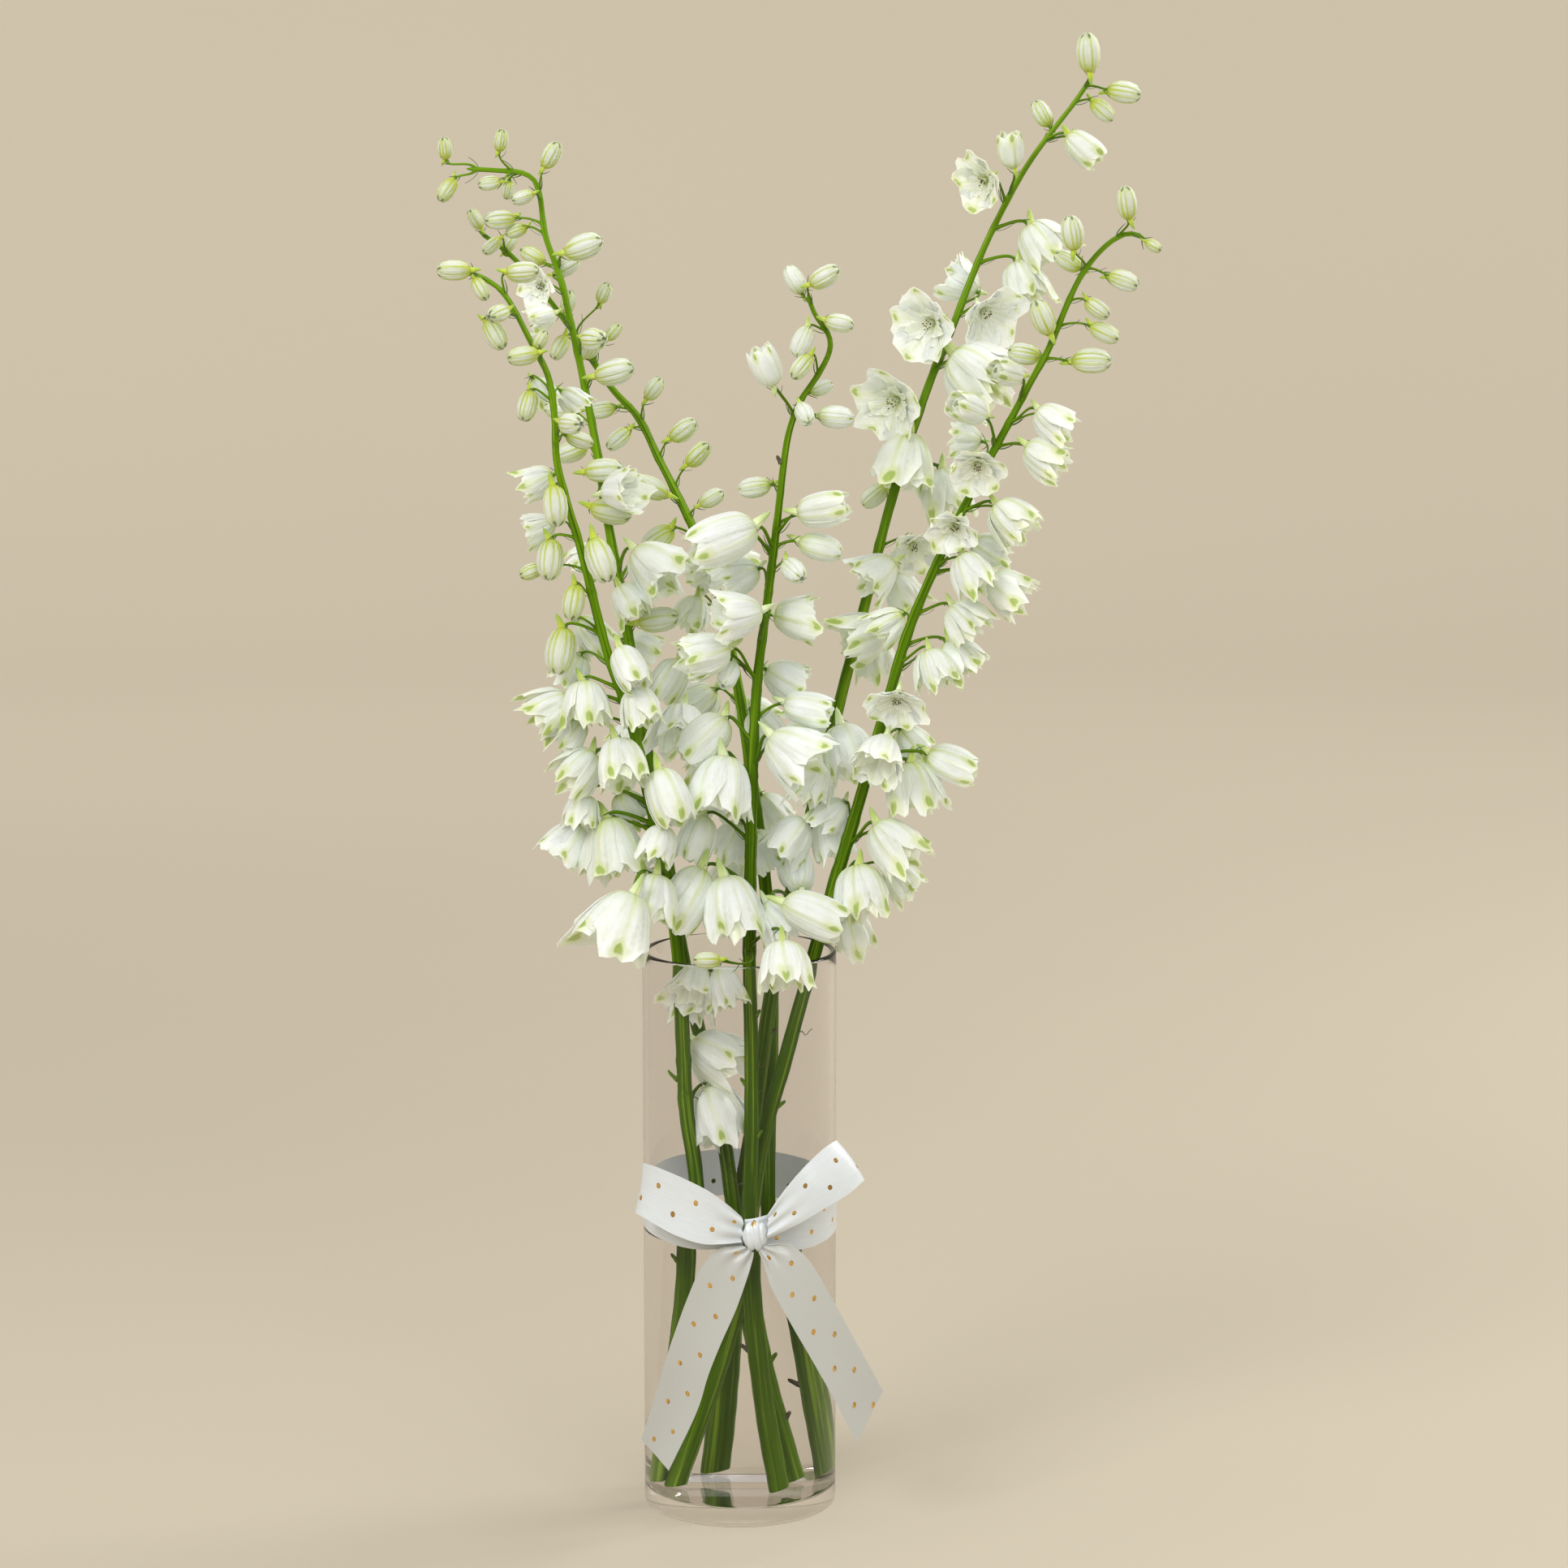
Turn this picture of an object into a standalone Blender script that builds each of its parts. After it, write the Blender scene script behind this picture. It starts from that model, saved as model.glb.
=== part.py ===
"""Six cut white delphinium spikes in a glass cylinder vase of water, tied round with a satin ribbon bow.

Working values are in millimetres and the objects are in metres. +Z is up, and the origin is the middle of
the vase's foot. A place read off the picture is (across, down) in its 1932 x 1932 pixels, with its depth
behind the vase's axis, and lies on that pixel's line of sight.
"""

import math
from collections import namedtuple

import bmesh
import bpy
import numpy as np
from mathutils import Vector

MM = 0.001

# Vase and water
VASE_RADIUS = 50.0
VASE_HEIGHT = 293.0
GLASS_WALL = 3.0
FLOOR_HEIGHT = 10.0
FOOT_ROUNDING = 3.0
INNER_ROUNDING = 2.2
WATER_HEIGHT = 146.0
VASE_SIDES = 40
GAP = 0.3

# Picture: the eye stands in front of the vase and looks slightly down
EYE = np.array((23.0, -2000.0, 667.0))
PITCH = math.radians(8.2)
FOCAL_PIXELS = 4868.0
PICTURE_MIDDLE = 966.0

# Stems: radius at the cut end, at a third, at two thirds and at the tip of the length
STEM_RADII = ((0.0, 4.4), (0.33, 3.8), (0.66, 2.5), (1.0, 1.1))
STEM_SIDES = 6
CUT_SLANT = 0.35
LINE_POINTS = 160
LINE_TOLERANCE = 0.5
CHANNEL_ROOM = 0.4
CHANNEL_DEPTH = 8.0
CHANNEL_RISE = 5.0

# Flower stalks and the room that flowers leave each other
STALK_RADIUS = 0.75
STALK_START = 0.62
STALK_OUTWARD = 0.75
STALK_UPWARD = 0.66
STALK_PARTS = (0.3, 0.5, 0.7, 0.9)
BLOOM_PARTS = (0.15, 0.5, 0.85)
ROOM = 0.7
OWN_PIECE_FLORETS = 46
BLOOM_SHRINK = 0.9

# A flower in front of its stem by more than this has a like one behind it, smaller and leaning away
FAR_SIDE_LEAST = 9.0
FAR_SIDE_LENGTH = 0.8
FAR_SIDE_LEAN = -30

# How the flowers push each other aside: shares of the push that they follow, and the most that they may move
SETTLE_STEPS = 260
STEPS_A_SEARCH = 20
FLOWER_REACH = 8.0
STEM_REACH = 12.0
FLOWER_SHARE = 0.16
STALK_SHARE = 0.1
BEND_SHARE = 0.12
ASIDE_SHARE = 0.3
MOST_A_STEP = 1.5
MOST_ASIDE = 6.0
MOST_BEND_A_STEP = 0.8
MOST_BEND = 8.0
RIM_REACH = 6.0
RIM_CLEAR = 1.5
RIM_DEPTH = 25.0

# Ribbon
RIBBON_WIDTH = 25.0
RIBBON_THICKNESS = 0.6
BAND_RADIUS = VASE_RADIUS + GAP + 0.1
BAND_TURNS = (-270, -180, -140, -95, -80, -40, 0, 90)
BAND_HEIGHTS = (164, 163, 160, 156, 156, 157, 160, 164)
KNOT_TURN = -87
KNOT_SPREAD = 22
KNOT_PINCH = 0.42
RUN_POINTS = 16
KNOT = np.array((8.4, -54.9, 156.0))
KNOT_RADII = (6.0, 4.2, 7.5)

# Ribbon runs as pairs of matching edge places (across, down, across, down, depth), from the knot outward
LEFT_LOOP = (
    (914.5, 1500, 914, 1531, -55.5), (896, 1484, 890, 1533, -60), (872, 1467, 862, 1532, -61),
    (840, 1451, 828, 1520, -57), (812, 1439, 800, 1504, -51), (797, 1434, 786, 1496, -45),
    (792, 1433, 783, 1493, -40), (797, 1436, 790, 1495, -36), (820, 1446, 814, 1502, -41),
    (856, 1464, 850, 1514, -49), (892, 1486, 888, 1522, -54), (914, 1501, 913.5, 1525, -54.0),
)
RIGHT_LOOP = (
    (946, 1496, 946, 1526, -55.5), (966, 1467, 984, 1508, -58), (990, 1439, 1018, 1488, -56),
    (1014, 1416, 1046, 1471, -48), (1029, 1406, 1063, 1456, -40), (1030, 1406, 1064, 1455, -35),
    (1014, 1417, 1046, 1468, -34), (990, 1440, 1016, 1486, -43), (968, 1468, 982, 1503, -51),
    (946.5, 1498, 946.5, 1523, -54.0),
)
LEFT_TAIL = (
    (915, 1535, 929, 1543, -55.3), (885, 1539, 927, 1554, -56.5), (864, 1562, 920, 1577, -57.5),
    (848, 1597, 906, 1616, -57), (832, 1640, 889, 1654, -56.3), (818, 1682, 873, 1694, -55),
    (805, 1728, 858, 1741, -52.5), (790, 1774, 824, 1812, -50),
)
RIGHT_TAIL = (
    (934, 1542, 945, 1533, -55.3), (941, 1558, 974, 1534, -56.5), (951, 1588, 999, 1556, -58),
    (975, 1632, 1024, 1598, -58), (1000, 1675, 1048, 1641, -57), (1026, 1721, 1069, 1679, -55.5),
    (1056, 1778, 1088, 1714, -53),
)

# Each kind: reach of its stalk from the stem, widest radius over length, drop of its stalk down the stem,
# and its outline as (part of the length, part of the widest radius)
Kind = namedtuple("Kind", "reach width drop outline")
BUD = Kind(9.0, 0.33, 7.0, ((0.0, 0.3), (0.45, 1.0), (1.0, 0.25)))
HALF = Kind(14.0, 0.34, 10.0, ((0.0, 0.25), (0.3, 0.8), (0.75, 1.0), (1.0, 0.7)))
BELL = Kind(18.0, 0.42, 12.0, ((0.0, 0.2), (0.2, 0.65), (0.65, 0.95), (1.0, 0.9)))
CUP = Kind(18.0, 0.5, 12.0, ((0.0, 0.2), (0.25, 0.6), (0.7, 0.95), (1.0, 1.0)))
FACE = Kind(12.0, 0.72, 8.0, ((0.0, 0.2), (0.3, 0.55), (0.75, 0.95), (1.0, 1.0)))

Flower = namedtuple("Flower", "kind across down length aim lean behind depth")


def flower(kind):
    """A maker of rows: place and length in pixels, aim in the picture (0 right, 90 up) and lean to the eye."""
    def row(across, down, length, aim, lean=10, behind=False, depth=None):
        if behind:
            lean = -abs(lean)
        return Flower(kind, across, down, length, aim, lean, behind, depth)
    return row


bud, half, bell, cup, face = (flower(kind) for kind in (BUD, HALF, BELL, CUP, FACE))

# Stem routes from the tip down, as (across, down, depth), then in the water as (x, depth, height)
STEM_ROUTES = {
    "a": (
        ((575, 208, 62), (612, 210, 61), (648, 214, 60), (664, 235, 59), (672, 290, 57), (690, 340, 56),
         (704, 400, 54), (717, 459, 52), (735, 552, 49), (749, 643, 46), (763, 720, 44), (780, 820, 40),
         (800, 940, 35), (820, 1050, 30), (836, 1151, 26), (850, 1225, 23), (870, 1310, 20), (890, 1393, 17),
         (902, 1472, 14)),
        ((2, 12, 115), (10, 9, 60), (20, 6, 10.3)),
    ),
    "b": (
        ((575, 335, -62), (600, 345, -61), (625, 367, -60), (655, 423, -57), (676, 465, -55), (684, 520, -52),
         (686, 567, -50), (699, 620, -47), (717, 681, -44), (746, 796, -37), (775, 880, -31), (795, 960, -26),
         (815, 1050, -20), (830, 1130, -15), (838, 1210, -11), (842, 1299, -9), (846, 1370, -8),
         (858, 1455, -6)),
        ((-22, -6, 125), (-27, -4, 65), (-34, 0, 10.3)),
    ),
    "c": (
        ((590, 285, 100), (638, 323, 97), (700, 400, 91), (752, 476, 85), (787, 515, 81), (811, 564, 77),
         (832, 605, 73), (858, 660, 69), (880, 720, 64), (900, 800, 58), (915, 880, 53), (930, 985, 46),
         (943, 1090, 38), (951, 1190, 32), (951, 1290, 27), (948, 1390, 22), (947, 1480, 20)),
        ((18, 19, 115), (24, 18, 60), (30, 16, 10.3)),
    ),
    "d": (
        ((995, 362, -28), (1004, 387, -28), (1022, 414, -27), (1021, 437, -27), (1006, 465, -26),
         (986, 495, -25), (973, 530, -24), (966, 570, -24), (958, 640, -22), (946, 737, -20), (934, 830, -18),
         (928, 926, -16), (926, 1009, -15), (924, 1092, -13), (923, 1191, -12), (925, 1279, -12),
         (926, 1381, -11), (924, 1470, -10)),
        ((5, -11, 120), (10, -13, 60), (17, -14, 10.3)),
    ),
    "e": (
        ((1345, 95, 52), (1325, 125, 51), (1300, 157, 50), (1275, 190, 49), (1250, 230, 48), (1221, 287, 46),
         (1200, 335, 45), (1175, 400, 43), (1152, 455, 41), (1132, 510, 39), (1114, 566, 37), (1092, 640, 34),
         (1066, 744, 30), (1041, 840, 26), (1020, 925, 22), (998, 1009, 18), (975, 1100, 15), (950, 1225, 14),
         (939, 1304, 15), (925, 1400, 20), (913, 1470, 24)),
        ((-3, 27, 115), (-5, 29, 60), (-8, 31, 10.3)),
    ),
    "f": (
        ((1411, 294, -58), (1390, 287, -57), (1362, 303, -56), (1335, 335, -55), (1317, 370, -54),
         (1292, 430, -52), (1271, 469, -50), (1240, 527, -47), (1204, 594, -43), (1161, 680, -38),
         (1121, 773, -32), (1095, 860, -27), (1071, 946, -22), (1051, 1015, -18), (1025, 1100, -13),
         (1000, 1187, -8), (984, 1243, -5), (964, 1317, -2), (949, 1368, 0), (936, 1425, 1), (928, 1480, 2)),
        ((0, 0, 115), (-13, -3, 60), (-27, -6, 10.3)),
    ),
}

FLOWERS = {
    "a": (
        bud(548, 183, 28, 95), bud(551, 234, 33, 235), bud(617, 173, 28, 80), bud(603, 226, 28, 190),
        bud(626, 234, 24, 260, behind=True), bud(679, 191, 36, 60), bud(644, 243, 28, 200),
        bud(616, 271, 38, 185), bud(636, 284, 28, 200, behind=True), bud(719, 304, 50, 20),
        bud(656, 315, 34, 150, behind=True), bud(698, 330, 34, 30, behind=True), face(664, 354, 32, 200, 55),
        bell(667, 392, 36, 200), bud(732, 418, 42, 0, 50), bud(757, 458, 50, 15), bud(743, 579, 48, 5),
        cup(766, 605, 52, 5, 30), bud(750, 630, 52, 350), cup(808, 699, 66, 320), bell(774, 742, 48, 300),
        bell(724, 690, 50, 220, behind=True), bell(790, 800, 50, 330, behind=True), bud(811, 764, 50, 10),
        bud(690, 505, 40, 170, behind=True), bud(704, 556, 42, 200, behind=True),
        cup(838, 898, 64, 270, 40), bell(782, 905, 50, 230, behind=True),
    ),
    "b": (
        bud(559, 333, 40, 180), bud(592, 356, 30, 300), bud(644, 335, 40, 5), bud(614, 387, 34, 200, 50),
        bud(610, 412, 40, 300), bud(645, 437, 38, 190), bud(666, 420, 26, 60), bud(650, 500, 38, 255),
        bell(668, 482, 36, 300, behind=True), bell(704, 494, 36, 320, behind=True), bud(704, 522, 40, 0, 50),
        bud(714, 542, 34, 340, behind=True), bell(662, 594, 44, 205, behind=True), bud(684, 623, 50, 275),
        cup(664, 652, 42, 205, behind=True), bud(678, 690, 50, 265), bud(655, 704, 30, 200),
        bud(740, 690, 56, 290), bud(707, 742, 44, 260), bud(691, 802, 58, 260),
        bell(730, 781, 50, 310, behind=True), bell(705, 826, 45, 240, behind=True), half(775, 822, 58, 300, 30),
        bell(790, 872, 52, 285), bell(677, 877, 60, 211), bell(722, 868, 60, 275),
        bell(704, 905, 45, 230, behind=True), bell(765, 942, 66, 280, 25), bell(714, 952, 62, 230),
        bell(722, 1003, 46, 260), bell(772, 1000, 48, 300, behind=True), cup(756, 1043, 80, 280),
        cup(702, 1040, 64, 235, depth=-14), cup(762, 1142, 88, 245, 15, depth=-66), bell(806, 1094, 64, 260),
        cup(846, 1214, 52, 250, 40, depth=-18), bell(850, 1240, 62, 265, depth=-4), bell(884, 1218, 50, 290),
        bell(878, 1300, 76, 330, depth=2), bell(888, 1368, 80, 290, depth=4), half(819, 986, 70, 290, 20),
        bell(815, 1046, 48, 255),
    ),
    "c": (
        bud(586, 270, 28, 120), bud(606, 303, 28, 220), bud(628, 300, 26, 60, behind=True),
        bud(744, 361, 28, 65),
        bud(700, 372, 30, 80), bud(727, 428, 36, 60, 40), bud(756, 409, 26, 50), bud(690, 428, 34, 240),
        bud(806, 479, 33, 55), bud(842, 530, 40, 35), bud(860, 560, 38, 45), bud(877, 614, 34, 30),
        bud(801, 601, 45, 155), bud(742, 505, 35, 190, behind=True), bud(762, 541, 36, 220),
        bud(811, 664, 46, 215, behind=True), bell(900, 700, 50, 350, behind=True), half(826, 838, 56, 240),
        bell(853, 757, 46, 250), cup(872, 705, 45, 210, 30), bell(862, 866, 52, 220, behind=True),
        bell(930, 880, 50, 320, behind=True), bell(872, 950, 52, 240, behind=True),
        bell(950, 1000, 50, 300, behind=True), bell(905, 1080, 54, 250, behind=True),
    ),
    "d": (
        bud(1016, 341, 40, 30), bud(979, 345, 38, 120, behind=True), bud(1034, 398, 36, 350),
        bud(989, 421, 40, 245), bud(988, 452, 36, 230), half(944, 453, 48, 115),
        bud(1012, 478, 30, 20, behind=True),
        bud(991, 510, 36, 300, 50), bud(1030, 514, 44, 355), half(1012, 628, 60, 10), bud(1011, 675, 55, 345),
        bud(978, 703, 42, 320, 50), half(893, 664, 82, 200), bell(912, 711, 50, 205, behind=True),
        cup(909, 759, 60, 190), cup(982, 763, 54, 350, behind=True), bell(867, 808, 66, 195),
        bud(898, 832, 42, 240, 50), cup(968, 838, 56, 330, behind=True), half(994, 873, 58, 350),
        cup(980, 930, 76, 325), half(871, 911, 70, 225), bell(888, 970, 80, 262), half(862, 1038, 58, 250),
        bell(906, 1036, 52, 250, behind=True), bell(950, 1050, 54, 295, behind=True), half(848, 1103, 82, 240),
        bell(898, 1131, 86, 281, 8, depth=-30), cup(959, 1132, 54, 310), bell(966, 1190, 62, 275, 20, depth=-60),
        bud(871, 1183, 34, 180, 5, depth=-57), bud(930, 600, 40, 190, behind=True),
        bell(952, 905, 50, 300, behind=True),
    ),
    "e": (
        bud(1341, 65, 48, 95), bud(1385, 114, 42, 350), bud(1358, 136, 36, 320, behind=True),
        half(1334, 182, 50, 320), bud(1284, 140, 36, 120, behind=True), face(1208, 224, 42, 200, 45),
        half(1246, 186, 42, 100), bell(1284, 301, 60, 305), bell(1262, 350, 60, 290),
        face(1141, 401, 52, 200, 50),
        face(1218, 389, 50, 320, 50), cup(1182, 347, 50, 150, behind=True), face(1099, 501, 58, 205, 50),
        cup(1112, 566, 74, 260), bell(1207, 464, 88, 320), bell(1165, 610, 66, 283),
        bud(1078, 610, 40, 220, behind=True), face(1126, 677, 40, 300, 50), cup(1080, 707, 55, 215),
        bell(1112, 728, 48, 300, behind=True), bell(1058, 783, 64, 197, depth=8), bell(1078, 812, 54, 280, behind=True),
        bell(1035, 930, 70, 285), bell(1000, 890, 52, 220, behind=True), bell(1012, 972, 58, 250),
        bell(980, 1030, 60, 230), bell(1020, 1030, 58, 285), bell(976, 1078, 45, 100, -50),
        half(1001, 1128, 76, 338, depth=-36),
    ),
    "f": (
        bud(1388, 250, 40, 100), bud(1421, 303, 22, 330), bud(1321, 287, 42, 100),
        bud(1316, 322, 36, 150, behind=True),
        bud(1384, 346, 38, 340), bud(1352, 380, 34, 325), bud(1361, 410, 38, 335), bud(1285, 391, 45, 115),
        bud(1345, 445, 48, 0), bud(1262, 436, 40, 170, behind=True), half(1241, 460, 45, 165, 40),
        half(1194, 505, 50, 155, 35), cup(1188, 540, 42, 170, behind=True), bell(1297, 523, 50, 320),
        bell(1288, 561, 52, 330), face(1204, 578, 40, 260, 50), bell(1246, 641, 56, 315),
        face(1175, 653, 38, 240, 50), bell(1220, 680, 50, 330, behind=True), bell(1198, 707, 55, 300),
        bell(1243, 730, 58, 325), bell(1191, 766, 55, 315), bell(1094, 770, 46, 215, behind=True),
        bell(1184, 812, 56, 310), bell(1152, 824, 50, 290), face(1104, 868, 42, 260, 45),
        cup(1084, 932, 56, 250, 40),
        bell(1124, 913, 50, 310, behind=True), bell(1126, 974, 70, 283), half(1172, 941, 62, 338),
        bell(1102, 1042, 72, 312), bell(1058, 1100, 68, 280), bell(1016, 1000, 46, 230, behind=True),
        bell(1052, 1146, 54, 285, behind=True), bell(1110, 1085, 50, 310, behind=True),
    ),
}

PETAL_WHITE = (0.86, 0.88, 0.84, 1.0)
STEM_GREEN = (0.12, 0.26, 0.06, 1.0)
SATIN_WHITE = (0.85, 0.85, 0.84, 1.0)
CLEAR = (0.9, 0.95, 0.94, 1.0)


def clear_scene():
    for item in list(bpy.data.objects):
        bpy.data.objects.remove(item, do_unlink=True)


def make_collection(name, hidden=False):
    made = bpy.data.collections.new(name)
    bpy.context.scene.collection.children.link(made)
    made.hide_render = hidden
    return made


def make_material(name, colour, roughness, transmission=0.0, sheen=0.0):
    made = bpy.data.materials.new(name)
    made.use_nodes = True
    shader = made.node_tree.nodes["Principled BSDF"]
    shader.inputs["Base Color"].default_value = colour
    shader.inputs["Roughness"].default_value = roughness
    shader.inputs["Metallic"].default_value = 0.0
    shader.inputs["Transmission Weight"].default_value = transmission
    shader.inputs["Sheen Weight"].default_value = sheen
    return made


def unit(vector):
    return vector / max(float(np.linalg.norm(vector)), 1e-9)


def sight_point(across, down, depth):
    """The point at this depth that the eye sees at this pixel."""
    right = (across - PICTURE_MIDDLE) / FOCAL_PIXELS
    rise = (PICTURE_MIDDLE - down) / FOCAL_PIXELS
    ray = np.array((right, math.cos(PITCH) + rise * math.sin(PITCH), rise * math.cos(PITCH) - math.sin(PITCH)))
    return EYE + ray * (depth - EYE[1]) / ray[1]


def millimetres_a_pixel(point):
    """The size of one pixel at this point."""
    ahead = (point[1] - EYE[1]) * math.cos(PITCH) - (point[2] - EYE[2]) * math.sin(PITCH)
    return ahead / FOCAL_PIXELS


def smooth_route(points, count):
    """This many points, evenly spaced, along a Catmull-Rom curve through the given ones."""
    points = np.array(points, float)
    padded = np.vstack((2 * points[0] - points[1], points, 2 * points[-1] - points[-2]))
    fine = []
    for before, start, end, after in zip(padded, padded[1:], padded[2:], padded[3:]):
        slope = end - before
        square = 2 * before - 5 * start + 4 * end - after
        cube = 3 * start - before - 3 * end + after
        for t in np.linspace(0, 1, 12, endpoint=False):
            fine.append(start + 0.5 * (slope * t + square * t**2 + cube * t**3))
    fine = np.array(fine + [points[-1]])
    lengths = np.concatenate(((0,), np.cumsum(np.linalg.norm(np.diff(fine, axis=0), axis=1))))
    wanted = np.linspace(0, lengths[-1], count)
    return np.stack([np.interp(wanted, lengths, fine[:, axis]) for axis in range(3)], axis=1)


def few_points(line, first, last, tolerance):
    """Numbers of the points that keep a line's shape to within the tolerance, between two of them."""
    along = unit(line[last] - line[first])
    between = line[first : last + 1] - line[first]
    aside = np.linalg.norm(between - np.outer(between @ along, along), axis=1)
    furthest = int(np.argmax(aside))
    if aside[furthest] < tolerance:
        return [first, last]
    middle = first + furthest
    return few_points(line, first, middle, tolerance)[:-1] + few_points(line, middle, last, tolerance)


class Stem:
    """A stem's centre line from the cut end up to the tip, with its radius along it."""

    def __init__(self, route):
        above, below = route
        points = [sight_point(*place) for place in above]
        points += [np.array((x, depth, height)) for x, depth, height in below]
        self.line = smooth_route(points[::-1], LINE_POINTS)
        steps = np.linalg.norm(np.diff(self.line, axis=0), axis=1)
        self.along = np.concatenate(((0,), np.cumsum(steps)))
        parts, radii = zip(*STEM_RADII)
        self.radius = np.interp(self.along / self.along[-1], parts, radii)
        self.rings = few_points(self.line, 0, LINE_POINTS - 1, LINE_TOLERANCE)

    def nearest(self, place):
        """Number of the centre line's point that lies nearest to a place, seen from the front."""
        from_front = self.line[:, (0, 2)] - place[[0, 2]]
        return int(np.argmin(np.linalg.norm(from_front, axis=1)))

    def root_number(self, base, drop):
        """Number of the point where a stalk starts that ends at base, this far down the stem from it."""
        along = max(self.along[self.nearest(base)] - drop, 0)
        number = int(np.searchsorted(self.along, along))
        return min(max(number, 1), LINE_POINTS - 2)

    def direction(self, number):
        return unit(self.line[number + 1] - self.line[number - 1])


class Bloom:
    """One flower where it grows: its base, its axis, its length and width, and its stalk's root."""

    def __init__(self, row, stem):
        self.row, self.stem, self.kind = row, stem, row.kind
        aim, lean = math.radians(row.aim), math.radians(row.lean)
        self.axis = np.array((math.cos(aim) * math.cos(lean), -math.sin(lean), math.sin(aim) * math.cos(lean)))
        half_way = stem.line[LINE_POINTS // 2]
        self.length = row.length * millimetres_a_pixel(half_way)
        self.radius = self.length * row.kind.width
        at_stem = stem.line[stem.nearest(sight_point(row.across, row.down, half_way[1]))]
        self.put_at(at_stem[1] if row.depth is None else row.depth)
        root = stem.line[self.root]
        self.forward = 0.0
        if row.depth is None:
            self.forward = math.sqrt(max(self.kind.reach**2 - (self.base[0] - root[0]) ** 2, 0))
            base_depth = root[1] + (self.forward if row.behind else -self.forward)
            self.put_at(base_depth + self.axis[1] * self.length / 2, keep_root=True)

    def put_at(self, depth, keep_root=False):
        """Places the flower's middle on its line of sight at this depth."""
        middle = sight_point(self.row.across, self.row.down, depth)
        self.sight = unit(middle - EYE)
        self.base = middle - self.axis * self.length / 2
        if not keep_root:
            self.root = self.stem.root_number(self.base, self.kind.drop)


def stalk_points(root, root_direction, base, axis, bend, parts):
    """Points of a stalk that leaves the stem along root_direction and arrives along the flower's axis."""
    reach = np.linalg.norm(base - root, axis=-1, keepdims=True)
    start, end = root_direction * reach * 1.1, axis * reach * 0.9
    points = []
    for t in parts:
        points.append(root * (2 * t**3 - 3 * t**2 + 1) + start * (t**3 - 2 * t**2 + t)
                      + base * (3 * t**2 - 2 * t**3) + end * (t**3 - t**2) + bend * 4 * t * (1 - t))
    return np.stack(points, axis=-2)


def limited(vectors, most):
    """The same vectors, the long ones cut to this length."""
    lengths = np.maximum(np.linalg.norm(vectors, axis=-1, keepdims=True), 1e-6)
    return vectors * np.minimum(1, most / lengths)


def along_sight(vectors, sight):
    return np.sum(vectors * sight, axis=1, keepdims=True) * sight


def away_from(points, others, room):
    """The push on each point from each of the others that is nearer than the room it needs."""
    between = points - others
    distance = np.maximum(np.linalg.norm(between, axis=-1), 1e-3)
    return between / distance[..., None] * np.maximum(room - distance, 0)[..., None]


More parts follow.
